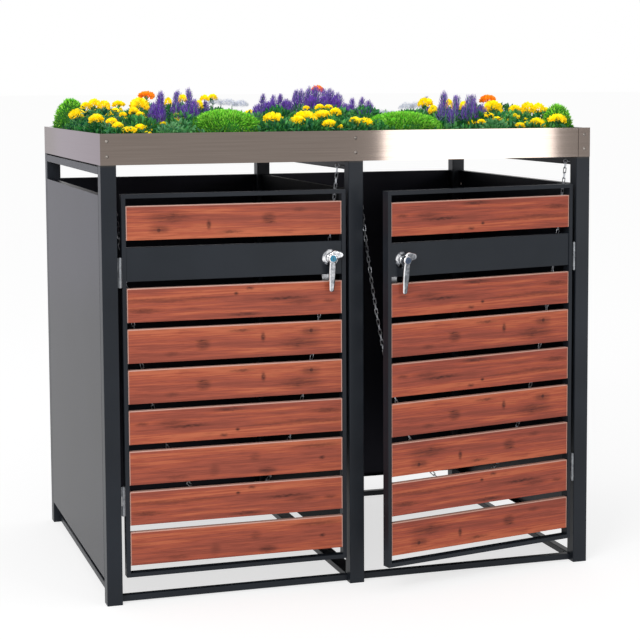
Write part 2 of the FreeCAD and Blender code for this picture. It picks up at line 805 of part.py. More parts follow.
def lever_blade(axis):
    # Seen from the front, a leaf shape: narrow at the boss, widest a third of the way down, with a
    # rounded tip. It is raked, so that its tip lies nearer the door.
    y = hub_front + 1.0
    tip_radius = lever_tip_width / 2.0
    tip_z = axis.z - lever_drop + tip_radius
    stations = [(lever_root_width / 2.0, axis.z), (lever_belly_width / 2.0, axis.z - lever_drop * 0.36),
                (lever_belly_width * 0.44, axis.z - lever_drop * 0.66), (tip_radius, tip_z)]
    right_edge = Part.BSplineCurve()
    right_edge.interpolate([V(axis.x + reach, y, z) for reach, z in stations])
    left_edge = Part.BSplineCurve()
    left_edge.interpolate([V(axis.x - reach, y, z) for reach, z in stations])
    root = lever_root_width / 2.0
    top = Part.LineSegment(V(axis.x - root, y, axis.z), V(axis.x + root, y, axis.z))
    tip = Part.Arc(V(axis.x + tip_radius, y, tip_z), V(axis.x, y, axis.z - lever_drop),
                   V(axis.x - tip_radius, y, tip_z))
    outline = Part.Wire(Part.__sortEdges__([curve.toShape() for curve in (top, right_edge, tip, left_edge)]))
    blade = Part.Face(outline).extrude(V(0, lever_thickness, 0))
    blade = round_edges(blade, lever_round,
                        lambda edge: not runs_along(edge, V(0, 1, 0)) and is_below(edge, axis.z))
    blade.rotate(V(axis.x, y + lever_thickness / 2.0, axis.z), V(1, 0, 0), lever_rake)
    return blade


def is_below(edge, z):
    return edge.CenterOfMass.z < z - 0.01


def handle_wing(axis):
    # A short rounded arm that points to the right of the boss and stands a little high. Seen from the
    # front it is egg-shaped: two arcs joined by the lines that touch them both.
    y = (hub_back + hub_front - wing_thickness) / 2.0 - 2.0
    z = axis.z + wing_lift
    root_x = axis.x + wing_root_radius - wing_root_overlap
    tip_x = axis.x + wing_reach - wing_tip_radius
    lean = math.asin((wing_root_radius - wing_tip_radius) / (tip_x - root_x))
    root_out, root_up = wing_root_radius * math.sin(lean), wing_root_radius * math.cos(lean)
    tip_out, tip_up = wing_tip_radius * math.sin(lean), wing_tip_radius * math.cos(lean)
    root_top, root_foot = V(root_x + root_out, y, z + root_up), V(root_x + root_out, y, z - root_up)
    tip_top, tip_foot = V(tip_x + tip_out, y, z + tip_up), V(tip_x + tip_out, y, z - tip_up)
    upper = Part.LineSegment(root_top, tip_top)
    nose = Part.Arc(tip_top, V(axis.x + wing_reach, y, z), tip_foot)
    lower = Part.LineSegment(tip_foot, root_foot)
    root = Part.Arc(root_foot, V(root_x - wing_root_radius, y, z), root_top)
    outline = Part.Wire([curve.toShape() for curve in (upper, nose, lower, root)])
    wing = Part.Face(outline).extrude(V(0, wing_thickness, 0))
    return round_edges(wing, wing_round, lambda edge: not runs_along(edge, V(0, 1, 0)))


def lever_handle(side):
    axis = handle_axis(side)
    hub = rod(hub_radius, V(axis.x, hub_back, axis.z), V(axis.x, hub_front, axis.z))
    hub = round_edges(hub, hub_round, lambda edge: abs(edge.CenterOfMass.y - hub_front) < 0.01)
    spindle = rod(spindle_radius, V(axis.x, hub_back, axis.z), V(axis.x, cam_front, axis.z))
    handle = hub.fuse([spindle, lever_blade(axis), handle_wing(axis)])
    socket = rod(lock_radius + running_clearance, V(axis.x, hub_front - 1.0, axis.z),
                 V(axis.x, hub_front + lock_length + 0.2, axis.z))
    return handle.cut(socket).removeSplitter()


def latch_cam(side):
    # A flat tongue on the end of the spindle, held by its screw.
    axis = handle_axis(side)
    end = cam_front + cam_thickness
    half = cam_width / 2.0
    tongue = block(axis.x - half, axis.x + half, cam_front, end, axis.z, axis.z - cam_reach)
    tongue = round_edges(tongue, cam_tip_round,
                         lambda edge: runs_along(edge, V(0, 1, 0)) and edge.CenterOfMass.z < axis.z - 1.0)
    collar = rod(half, V(axis.x, cam_front, axis.z), V(axis.x, end, axis.z))
    screw = rod(cam_screw_head_radius, V(axis.x, end, axis.z), V(axis.x, end + cam_screw_head_height, axis.z))
    plate = tongue.fuse([collar, screw]).removeSplitter()
    return plate


def lock_cylinder(side):
    axis = handle_axis(side)
    barrel = rod(lock_radius, V(axis.x, hub_front, axis.z), V(axis.x, hub_front + lock_length, axis.z))
    slot = block(axis.x - lock_key_slot_width / 2.0, axis.x + lock_key_slot_width / 2.0, hub_front,
                 hub_front + lock_key_slot_depth, axis.z - lock_key_slot_length / 2.0,
                 axis.z + lock_key_slot_length / 2.0)
    return barrel.cut(slot)


# Lid chains. Each hangs in a catenary between two eyes on the top rails.

def catenary_scale(half_span):
    # Bisection on the hanging curve's scale, so that its sag is the one asked for.
    low, high = half_span / 12.0, half_span * 20.0
    for _ in range(80):
        scale = (low + high) / 2.0
        sag = scale * (math.cosh(half_span / scale) - 1.0)
        low, high = (scale, high) if sag > chain_sag else (low, scale)
    return scale


def chain_end_x(side):
    # Where the two ends of a bay's chain hang: at its side rail and at the centre rail.
    outer = half_width - top_rail_width - eye_reach
    inner = top_rail_width / 2.0 + eye_reach
    return sorted((side * outer, side * inner))


def link_corners():
    # The wire's middle line: two long sides, joined at each end by three short runs round a half turn.
    bend = (chain_link_width - chain_wire) / 2.0
    half = (chain_pitch + chain_slack + 2.0 * chain_wire - chain_link_width) / 2.0
    lead = bend * math.tan(math.radians(22.5))
    right = [V(half + lead, 0, bend), V(half + bend, 0, lead),
             V(half + bend, 0, -lead), V(half + lead, 0, -bend)]
    left = [V(-corner.x, 0, -corner.z) for corner in right]
    return right + left


def link_section(before, corner, after):
    # A six-sided wire section, cut on the plane that halves the turn at a corner.
    arriving = corner.sub(before).normalize()
    leaving = after.sub(corner).normalize()
    halfway = arriving.add(leaving).normalize()
    outward = V(-halfway.z, 0, halfway.x)
    stretch = chain_wire / 2.0 / halfway.dot(arriving)
    points = []
    for step in range(6):
        angle = math.radians(60 * step)
        offset = V(outward).multiply(stretch * math.cos(angle))
        points.append(corner.add(offset).add(V(0, chain_wire / 2.0 * math.sin(angle), 0)))
    return points


def chain_link():
    corners = link_corners()
    count = len(corners)
    sections = [link_section(corners[k - 1], corners[k], corners[(k + 1) % count]) for k in range(count)]
    faces = []
    for k in range(count):
        here, there = sections[k], sections[(k + 1) % count]
        for step in range(6):
            nearby = (step + 1) % 6
            loop = [here[step], there[step], there[nearby], here[nearby], here[step]]
            faces.append(Part.Face(Part.makePolygon(loop)))
    link = Part.Solid(Part.Shell(faces))
    if link.Volume < 0:
        link.reverse()
    return link


def chain(side):
    x_left, x_right = chain_end_x(side)
    middle = (x_left + x_right) / 2.0
    half_span = (x_right - x_left) / 2.0
    scale = catenary_scale(half_span)
    half_length = scale * math.sinh(half_span / scale)
    count = 2 * int(half_length / chain_pitch) + 1
    pitch = 2.0 * half_length / count
    bottom = chain_end_z - chain_sag
    link = chain_link()
    links = []
    for k in range(count):
        run = -half_length + (k + 0.5) * pitch
        x = scale * math.asinh(run / scale)
        z = scale * (math.cosh(x / scale) - 1.0)
        slope = math.degrees(math.atan(math.sinh(x / scale)))
        turned = link.copy()
        if k % 2 == 0:
            turned.rotate(V(0, 0, 0), V(1, 0, 0), 90)
        turned.rotate(V(0, 0, 0), V(0, 1, 0), -slope)
        turned.translate(V(middle + x, chain_y, bottom + z))
        links.append(turned)
    name = "left" if side < 0 else "right"
    print("chain", name, "links", count, "length mm", round(2.0 * half_length, 1))
    return group(links)


def chain_eye(rail_x, ring_x):
    # A ring on a shank that is welded to the face of the rail.
    outward = 1.0 if ring_x > rail_x else -1.0
    ring = Part.makeTorus(eye_ring_radius, eye_wire / 2.0, V(ring_x, chain_y, eye_z), V(0, 1, 0))
    shank_end = V(ring_x - outward * eye_ring_radius, chain_y, eye_z)
    shank = rod(eye_shank_radius, V(rail_x, chain_y, eye_z), shank_end)
    return ring.fuse(shank)


def chain_eyes():
    eyes = []
    for side in (-1, 1):
        x_left, x_right = chain_end_x(side)
        eyes.append(chain_eye(x_left - eye_reach, x_left))
        eyes.append(chain_eye(x_right + eye_reach, x_right))
    return group(eyes)


# The nodes

def frame_nodes():
    nodes = {}
    for end in ("front", "back"):
        for row in ("left", "centre", "right"):
            nodes["post_" + end + "_" + row] = post(row, end)
    nodes["foot_plates"] = group([foot_plate(centre) for centre in all_post_centres()])
    nodes["post_caps"] = group([post_cap(centre) for centre in all_post_centres()])
    rails = {}
    spigots = []
    bolts = []
    for node, box, axis in rail_layout():
        rails.setdefault(node, []).append(rail(box, axis))
        spigots.extend(rail_spigots(box, axis))
        bolts.extend(rail_bolts(box, axis))
    for node, solids in rails.items():
        nodes[node] = group(solids) if len(solids) > 1 else solids[0]
    nodes["rail_spigots"] = group(spigots)
    nodes["rail_bolts"] = group(bolts)
    return nodes


def wall_nodes():
    return {
        "side_panel_left": side_panel("left"),
        "side_panel_right": side_panel("right"),
        "divider_panel": divider_panel(),
        "back_panel_left": back_panel("left"),
        "back_panel_right": back_panel("right"),
        "panel_screws": group(panel_screws()),
    }


def planter_nodes():
    bolts = [planter_bolt(seat, end) for end in ("front", "back") for seat in planter_bolt_seats(end)]
    return {
        "planter_floor": planter_floor(),
        "planter_front": planter_cross_panel("front"),
        "planter_back": planter_cross_panel("back"),
        "planter_left": planter_side_panel("left"),
        "planter_right": planter_side_panel("right"),
        "planter_web": planter_web(),
        "planter_bolts": group(bolts),
        "soil_beds": group([soil_bed(-1), soil_bed(1)]),
        "ground_cover": group([ground_cover(-1), ground_cover(1)]),
        "cushion_plants": plant_clumps(cushion_places, mound),
        "marigold_plants": plant_clumps(marigold_places, mound),
        "salvia_plants": plant_clumps(salvia_places, spire),
        "alyssum_plants": plant_clumps(alyssum_places, mound),
    }


def door_nodes(side):
    row = "left" if side < 0 else "right"
    pieces = {
        "door_frame_": door_frame(side),
        "door_slats_": door_slats(side),
        "door_panel_": door_panel(side),
        "door_rivets_": door_rivets(side),
        "hinge_door_leaves_": group([hinge_leaf_solid(side, centre, False) for centre in hinge_centres()]),
        "handle_rose_": handle_rose(side),
        "lever_handle_": lever_handle(side),
        "latch_cam_": latch_cam(side),
        "lock_cylinder_": lock_cylinder(side),
    }
    nodes = {name + row: hang_ajar(shape, side) for name, shape in pieces.items()}
    return nodes


def chain_nodes():
    return {"chain_left": chain(-1), "chain_right": chain(1), "chain_eyes": chain_eyes()}


def main():
    os.makedirs("parts", exist_ok=True)
    nodes = {}
    nodes.update(frame_nodes())
    nodes.update(wall_nodes())
    nodes.update(planter_nodes())
    nodes.update(door_nodes(-1))
    nodes.update(door_nodes(1))
    leaves = [hinge_leaf_solid(side, centre, True) for side in (-1, 1) for centre in hinge_centres()]
    nodes["hinge_post_leaves"] = group(leaves)
    nodes["hinge_pins"] = group([hinge_pin(side, centre) for side in (-1, 1) for centre in hinge_centres()])
    nodes.update(chain_nodes())
    for name, shape in nodes.items():
        shape.exportStep("parts/" + name + ".step")
    print("nodes", len(nodes))


main()
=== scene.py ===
import bpy
import json
import math
import numpy as np
from mathutils import Matrix, Vector


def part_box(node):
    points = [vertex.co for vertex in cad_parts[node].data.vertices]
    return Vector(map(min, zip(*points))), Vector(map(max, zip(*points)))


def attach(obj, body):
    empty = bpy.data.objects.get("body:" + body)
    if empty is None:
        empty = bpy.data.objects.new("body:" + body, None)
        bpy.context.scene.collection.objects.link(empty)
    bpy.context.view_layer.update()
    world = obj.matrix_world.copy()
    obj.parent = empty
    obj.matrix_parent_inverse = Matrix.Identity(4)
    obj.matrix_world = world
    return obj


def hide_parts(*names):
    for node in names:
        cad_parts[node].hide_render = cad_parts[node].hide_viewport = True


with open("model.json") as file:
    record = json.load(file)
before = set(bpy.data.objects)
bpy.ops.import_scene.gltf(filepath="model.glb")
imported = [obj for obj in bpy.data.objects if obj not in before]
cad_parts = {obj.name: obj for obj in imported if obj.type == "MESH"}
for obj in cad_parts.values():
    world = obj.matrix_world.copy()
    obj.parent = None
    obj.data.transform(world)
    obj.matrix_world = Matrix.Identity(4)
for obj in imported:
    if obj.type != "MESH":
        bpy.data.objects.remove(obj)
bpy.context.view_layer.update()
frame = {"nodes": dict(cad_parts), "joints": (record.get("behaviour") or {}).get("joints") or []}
nodes = frame["nodes"]
joints = {joint["name"]: joint for joint in frame["joints"]}
random = np.random.default_rng(240)
print("frame loaded:", len(nodes), "nodes")


def hexColour(code):
    # sRGB hex to linear: c / 12.92 below 0.04045, else ((c + 0.055) / 1.055) to the power 2.4
    channels = [int(code[k:k + 2], 16) / 255 for k in (1, 3, 5)]
    linear = [c / 12.92 if c <= 0.04045 else ((c + 0.055) / 1.055) ** 2.4 for c in channels]
    return (*linear, 1.0)


def setStops(elements, stops):
    # a ramp's stops are (position, hex) pairs, and past the last one its colour stays
    while len(elements) < len(stops):
        elements.new(0.5)
    for element, (position, code) in zip(elements, stops):
        element.position = position
        element.color = hexColour(code)


def addNode(tree, kind, settings=None, links=None):
    # adds one shader node. Settings are its properties, a ramp's stops or, as one word, its operation.
    # Links fill its inputs with values, with outputs or, given a node, with that node's first output.
    node = tree.nodes.new("ShaderNode" + kind)
    if isinstance(settings, str):
        settings = {"operation": settings}
    for key, value in (settings or {}).items():
        if key == "stops":
            setStops(node.color_ramp.elements, value)
        else:
            setattr(node, key, value)
    for key, value in (links or {}).items():
        if isinstance(value, bpy.types.Node):
            value = value.outputs[0]
        if isinstance(value, bpy.types.NodeSocket):
            tree.links.new(value, node.inputs[key])
        else:
            node.inputs[key].default_value = value
    return node


def newMaterial(name):
    material = bpy.data.materials.new(name)
    material.use_nodes = True
    tree = material.node_tree
    tree.nodes.clear()
    return material, tree


def finishMaterial(tree, surface):
    # the surface's own settings, and the material's output
    shader = addNode(tree, "BsdfPrincipled", links=surface)
    addNode(tree, "OutputMaterial", links={"Surface": shader})


def roughened(tree, pattern, low, high, bump):
    # a pattern's ups and downs, as roughness from low to high and as a bump
    rough = addNode(tree, "MapRange", links={"Value": pattern, "To Min": low, "To Max": high})
    raised = addNode(tree, "Bump", links={"Height": pattern, **bump})
    return {"Roughness": rough, "Normal": raised}


def overNoise(hexDark, hexPale):
    # noise lies mostly between 0.3 and 0.7, so a ramp's two colours meet over that stretch
    return {"stops": [(0.3, hexDark), (0.7, hexPale)]}


def polarFaces(rings, around):
    # quads between rings of points that close on themselves, ring by ring
    i, j = np.meshgrid(np.arange(rings - 1), np.arange(around), indexing="ij")
    k, n = (i * around + j).ravel(), (i * around + (j + 1) % around).ravel()
    return np.column_stack([k, k + around, n + around, n])


def paint(nodeNames, material):
    # gives CAD nodes their material
    for name in nodeNames:
        mesh = nodes[name].data
        mesh.materials.clear()
        mesh.materials.append(material)


def buildMesh(name, points, faces, tints, material, body):
    # one smooth object at the origin, with its place in its mesh, and a colour for each point or None
    mesh = bpy.data.meshes.new(name)
    mesh.from_pydata(points, [], faces)
    mesh.polygons.foreach_set("use_smooth", np.ones(len(mesh.polygons), bool))
    if tints is not None:
        layer = mesh.color_attributes.new("tint", "FLOAT_COLOR", "POINT")
        layer.data.foreach_set("color", np.column_stack([tints, np.ones(len(tints))]).ravel())
    mesh.materials.append(material)
    mesh.update()
    piece = bpy.data.objects.new(name, mesh)
    bpy.context.scene.collection.objects.link(piece)
    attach(piece, body)
    return piece


# camera, light and floor

cameraSettings = {
    "place": (-1.421, -4.2449, 1.3095), "yaw": 0.3032, "pitch": -0.0901, "roll": -0.0053, "lens": 96.4,
    "shiftY": -0.12}


def makeCamera():
    # the view turns by yaw about Z and tips by pitch, along (sin y cos p, cos y cos p, sin p), then rolls
    # about itself
    s = cameraSettings
    yaw, pitch = s["yaw"], s["pitch"]
    forward = Vector((math.sin(yaw) * math.cos(pitch), math.cos(yaw) * math.cos(pitch), math.sin(pitch)))
    right = Vector((math.cos(yaw), -math.sin(yaw), 0))
    turn = Matrix((right, right.cross(forward), -forward)).transposed() @ Matrix.Rotation(s["roll"], 3, "Z")
    data = bpy.data.cameras.new("camera")
    data.lens = s["lens"]
    data.sensor_width = 36
    data.shift_y = s["shiftY"]
    data.clip_end = 1000
    camera = bpy.data.objects.new("camera", data)
    camera.matrix_world = Matrix.Translation(s["place"]) @ turn.to_4x4()
    bpy.context.scene.collection.objects.link(camera)
    bpy.context.scene.camera = camera


# lamps: name, place, what it looks at, width and height in metres, watts, colour
lightSettings = {
    "world": 0.62, "floorHex": "#f6f6f6", "floorWhite": 0.69, "floorShare": 0.46, "floorReach": 400,
    "lamps": [
        ("keyLamp", (-3.4, -3.6, 3.4), (0.0, 0.2, 0.7), (2.4, 2.4), 100, "#ffffff"),
        ("sideSoftbox", (-2.1, 4.6, 1.3), (-0.67, 0.4, 0.9), (1.7, 2.2), 2.5, "#ccbfff"),
        ("planterSoftbox", (2.04, -4.22, 1.05), (0.3, 0.0, 1.16), (0.9, 1.4), 25, "#ffffff")]}


def seenRays(tree):
    # 1 for the rays that show a background: those from the camera, from gloss and through glass
    path = addNode(tree, "LightPath")
    seen = path.outputs["Is Camera Ray"]
    for kind in ("Is Glossy Ray", "Is Transmission Ray"):
        seen = addNode(tree, "Math", "MAXIMUM", {0: seen, 1: path.outputs[kind]})
    return seen


def makeLight():
    s = lightSettings
    world = bpy.data.worlds.new("studio")
    bpy.context.scene.world = world
    world.use_nodes = True
    tree = world.node_tree
    tree.nodes.clear()
    level = addNode(tree, "MapRange", links={"Value": seenRays(tree), "To Min": s["world"], "To Max": 1.0})
    sky = addNode(tree, "Background", links={"Color": (1, 1, 1, 1), "Strength": level})
    addNode(tree, "OutputWorld", links={"Surface": sky})
    for name, place, target, size, power, code in s["lamps"]:
        data = bpy.data.lights.new(name, "AREA")
        data.shape = "RECTANGLE"
        data.size, data.size_y = size
        data.energy = power
        data.color = hexColour(code)[:3]
        lamp = bpy.data.objects.new(name, data)
        aim = (Vector(target) - Vector(place)).to_track_quat("-Z", "Y")
        lamp.matrix_world = Matrix.Translation(place) @ aim.to_matrix().to_4x4()
        bpy.context.scene.collection.objects.link(lamp)


def makeFloor():
    # matt white floor paint: the background looks white, and the object's shadow stays as a soft grey
    s = lightSettings
    material, tree = newMaterial("paleFloorPaint")
    seen = seenRays(tree)
    colour = addNode(tree, "Mix", {"data_type": "RGBA"}, {
        0: seen, 6: hexColour(s["floorHex"]), 7: (s["floorShare"],) * 3 + (1,)})
    white = addNode(tree, "Math", "MULTIPLY", {0: seen, 1: s["floorWhite"]})
    finishMaterial(tree, {
        "Base Color": colour.outputs[2], "Roughness": 0.9, "Specular IOR Level": 0.0,
        "Emission Color": (1, 1, 1, 1), "Emission Strength": white})
    reach = s["floorReach"]
    corners = [(-reach, -reach, 0), (reach, -reach, 0), (reach, reach, 0), (-reach, reach, 0)]
    mesh = bpy.data.meshes.new("floor")
    mesh.from_pydata(corners, [], [(0, 1, 2, 3)])
    mesh.materials.append(material)
    floor = bpy.data.objects.new("floor", mesh)
    bpy.context.scene.collection.objects.link(floor)


makeCamera()
makeLight()
makeFloor()
print("camera, light and floor made")


# the frame, the walls and the fittings

coatSettings = {
    "peelMm": 2.4, "cloudMm": 240, "uneven": 0.07, "bump": {"Strength": 0.06, "Distance": 0.0005}}


def powderCoat(name, hexDark, hexPale, roughness, gloss, sheen="#ffffff"):
    # anthracite polyester powder coat, baked on: dark, satin, with a fine orange peel. The real peel is
    # about 0.6 mm, and it is drawn coarser so that it shows.
    s = coatSettings
    material, tree = newMaterial(name)
    place = addNode(tree, "TexCoord").outputs["Object"]
    peel = addNode(tree, "TexNoise", links={"Vector": place, "Scale": 1000 / s["peelMm"], "Detail": 2.0})
    cloud = addNode(tree, "TexNoise", links={"Vector": place, "Scale": 1000 / s["cloudMm"], "Detail": 3.0})
    colour = addNode(tree, "ValToRGB", overNoise(hexDark, hexPale), {"Fac": cloud})
    finishMaterial(tree, {
        "Base Color": colour, "Specular IOR Level": gloss, "Specular Tint": hexColour(sheen),
        **roughened(tree, peel, roughness - s["uneven"], roughness + s["uneven"], s["bump"])})
    return material


steelSettings = {
    "pale": "#837871", "dark": "#786d66", "roughness": (0.05, 0.07), "edgeOn": "#d6d2d4",
    "bump": {"Strength": 0.02, "Distance": 0.0003}, "strokeMm": 1.8, "strokeLengthMm": 240}


def brushedSteel(name):
    # stainless sheet with a long horizontal brush grain, so that reflections smear up and down. Real
    # strokes are about 0.1 mm apart, and they are drawn wider so that they show.
    s = steelSettings
    material, tree = newMaterial(name)
    along = 1000 / s["strokeLengthMm"]
    stretched = addNode(tree, "Mapping", links={
        "Vector": addNode(tree, "TexCoord").outputs["Object"],
        "Scale": (along, along, 1000 / s["strokeMm"])})
    stroke = addNode(tree, "TexNoise", links={"Vector": stretched, "Scale": 1.0, "Detail": 4.0})
    colour = addNode(tree, "ValToRGB", overNoise(s["dark"], s["pale"]), {"Fac": stroke})
    finishMaterial(tree, {
        "Base Color": colour, "Metallic": 1.0, "Specular Tint": hexColour(s["edgeOn"]),
        **roughened(tree, stroke, *s["roughness"], s["bump"])})
    return material


metalBump = {"Strength": 0.06, "Distance": 0.0003}


def brightMetal(name, hexDark, hexPale, roughness, grainMm):
    # plated or bare metal, such as zinc, nickel or steel, with a little unevenness in its colour and gloss
    material, tree = newMaterial(name)
    cloud = addNode(tree, "TexNoise", links={
        "Vector": addNode(tree, "TexCoord").outputs["Object"], "Scale": 1000 / grainMm, "Detail": 3.0})
    colour = addNode(tree, "ValToRGB", overNoise(hexDark, hexPale), {"Fac": cloud})
    finishMaterial(tree, {
        "Base Color": colour, "Metallic": 1.0,
        **roughened(tree, cloud, roughness * 0.7, roughness * 1.3, metalBump)})
    return material


chromeSettings = {
    "stops": [
        (0.0, "#141619"), (0.2, "#34373b"), (0.36, "#74777c"), (0.44, "#a6a8ac"), (0.52, "#cfd0d3"),
        (0.63, "#f2f2f3"), (1.0, "#ffffff")],
    "cloudMm": 9, "byX": -0.42, "byZ": 0.2, "roughness": (0.08, 0.2)}


def chromeWithPaintedReflection(name, middle, uneven):
    # chrome plate, polished and a little uneven in its gloss. Its colour is a painted reflection: pale
    # where it faces up and left, dark where it faces down and right, as in a studio with a dark side, and
    # blotched with painted patches of lighter and darker reflection. For a surface that faces (x, y, z),
    # the level is middle + byX x + byZ z.
    s = chromeSettings
    material, tree = newMaterial(name)
    coordinates = addNode(tree, "TexCoord").outputs
    axes = addNode(tree, "SeparateXYZ", links={"Vector": coordinates["Normal"]})
    cloud = addNode(tree, "TexNoise", links={
        "Vector": coordinates["Object"], "Scale": 1000 / s["cloudMm"], "Detail": 2.0})
    # the cloud blotches the colour with painted patches of lighter and darker reflection
    base = addNode(tree, "MapRange", links={
        "Value": cloud, "From Min": 0.3, "From Max": 0.7, "To Min": middle - uneven,
        "To Max": middle + uneven})
    left = addNode(tree, "Math", "MULTIPLY_ADD", {0: axes.outputs["X"], 1: s["byX"], 2: base})
    level = addNode(tree, "Math", "MULTIPLY_ADD", {0: axes.outputs["Z"], 1: s["byZ"], 2: left})
    colour = addNode(tree, "ValToRGB", {"stops": s["stops"]}, {"Fac": level})
    rough = addNode(tree, "MapRange", links={
        "Value": cloud, "To Min": s["roughness"][0], "To Max": s["roughness"][1]})
    finishMaterial(tree, {"Base Color": colour, "Metallic": 1.0, "Roughness": rough})
    return material


plasticSettings = {"roughness": 0.55, "bump": {"Strength": 0.1, "Distance": 0.0004}}


def mouldedPlastic(name, hexDark, hexPale, gritMm):
    # injection moulded polyethylene: black and dull, with a faint moulded grit
    s = plasticSettings
    material, tree = newMaterial(name)
    grit = addNode(tree, "TexNoise", links={
        "Vector": addNode(tree, "TexCoord").outputs["Object"], "Scale": 1000 / gritMm, "Detail": 2.0})
    colour = addNode(tree, "ValToRGB", overNoise(hexDark, hexPale), {"Fac": grit})
    bump = addNode(tree, "Bump", links={"Height": grit, **s["bump"]})
    finishMaterial(tree, {"Base Color": colour, "Roughness": s["roughness"], "Normal": bump})
    return material


compostSettings = {
    "crumbMm": 6, "fibreMm": 14, "roughness": 0.85, "bump": {"Strength": 0.7, "Distance": 0.003},
    "stops": [(0.3, "#120c08"), (0.6, "#2a1d13"), (0.75, "#4a3826")]}


def compost(name):
    # moist peat-free compost: near black crumbs with paler fibres
    s = compostSettings
    material, tree = newMaterial(name)
    place = addNode(tree, "TexCoord").outputs["Object"]
    crumb = addNode(tree, "TexVoronoi", links={"Vector": place, "Scale": 1000 / s["crumbMm"]})
    fibre = addNode(tree, "TexNoise", links={"Vector": place, "Scale": 1000 / s["fibreMm"], "Detail": 5.0})
    colour = addNode(tree, "ValToRGB", {"stops": s["stops"]}, {"Fac": fibre})
    bump = addNode(tree, "Bump", links={"Height": crumb, **s["bump"]})
    finishMaterial(tree, {"Base Color": colour, "Roughness": s["roughness"], "Normal": bump})
    return material


def dressFrame():
    posts = [f"post_{row}_{side}" for row in ("front", "back") for side in ("left", "centre", "right")]
    rails = [f"{kind}_rail_{side}" for kind in ("base", "top") for side in ("left", "centre", "right")]
    coat = powderCoat("anthraciteCoat", "#1a1e24", "#22272e", 0.4, 0.2)
    paint(posts + rails + ["base_rails_front", "base_rails_back", "foot_plates", "rail_spigots"], coat)
    paint(["door_frame_left", "door_frame_right", "door_rivets_left", "door_rivets_right"], coat)
    # the divider gets a near-black copy of the same coat: painted shade, as it stands inside the store
    paint(["divider_panel"], powderCoat("anthraciteCoatPaintedShade", "#0a0b0e", "#0f1114", 0.55, 0.05))
    # the side and back panels get a darker copy of the same coat: painted shade that keeps the store's
    # inside dark
    paint(["side_panel_left", "side_panel_right", "back_panel_left", "back_panel_right"],
          powderCoat("anthraciteWallCoatPaintedShade", "#101218", "#171a21", 0.34, 0.14, "#efeaff"))
    paint(["door_panel_left", "door_panel_right"],
          powderCoat("anthraciteBandCoat", "#1b2026", "#22272e", 0.4, 0.2))
    paint(["post_caps"], mouldedPlastic("blackCapPlastic", "#0a0a0b", "#131315", 2))
    paint([f"planter_{part}" for part in ("floor", "front", "back", "left", "right", "web")],
          brushedSteel("brushedStainless"))
    paint(["planter_bolts", "rail_bolts", "panel_screws"],
          brightMetal("boltSteel", "#716a65", "#958e88", 0.22, 9))
    paint(["hinge_post_leaves", "hinge_door_leaves_left", "hinge_door_leaves_right", "hinge_pins"],
          brightMetal("zincPlate", "#6a6d71", "#8e9195", 0.3, 10))
    paint(["latch_cam_left", "latch_cam_right"], brightMetal("camZinc", "#7d7f83", "#a9abae", 0.26, 8))
    # the rose is set darker than the lever, with more painted dark reflection
    paint(["handle_rose_left", "handle_rose_right"], chromeWithPaintedReflection("roseChromePaintedReflection", 0.38, 0.2))
    paint(["lever_handle_left", "lever_handle_right"], chromeWithPaintedReflection("leverChromePaintedReflection", 0.48, 0.07))
    paint(["lock_cylinder_left", "lock_cylinder_right"],
          brightMetal("lockNickel", "#8f9094", "#c4c5c8", 0.25, 5))
    paint(["chain_left", "chain_right", "chain_eyes"],
          brightMetal("chainZinc", "#9fa2a8", "#cccfd4", 0.3, 6))
    paint(["soil_beds"], compost("compost"))


dressFrame()
print("frame, walls and fittings finished")


# the wood-look slats

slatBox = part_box("door_slats_left")
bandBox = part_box("door_panel_left")
slatHeight = bandBox[1].z - bandBox[0].z
slatPitch = (slatBox[1].z - slatBox[0].z - slatHeight) / 8
slatHalf = (slatBox[1].x - slatBox[0].x) / 2
ajarTurn = math.radians(-joints["door_right_swing"]["range_deg"][0])

# a pattern is the height and length of one wave in millimetres, how far it is moved, and its detail
woodSettings = {
    "grain": (3.4, 150, 1.3, 4.0), "bands": (24, 520, 2.1, 2.0), "wear": (2.6, 26, 0.7, 3.0),
    "streaks": (3.4, 70, 3.3, 3.0), "seed": 3.1, "bandWeight": 1.2, "riseWeight": 2.6, "tone": (0.92, 1.29),
    "wanderMm": 11, "wanderBy": 0.006, "smudgeFade": (1.5, 0.25), "smudgeGain": 1.2,
    "topHighlightBand": (0.0032, 0.0016), "endHighlightBand": (0.0036, 0.0018), "foldHighlightShare": 0.85, "apart": 0.3,
    "roughness": (0.38, 0.52), "gloss": 0.2, "bump": {"Strength": 0.06, "Distance": 0.0005}}


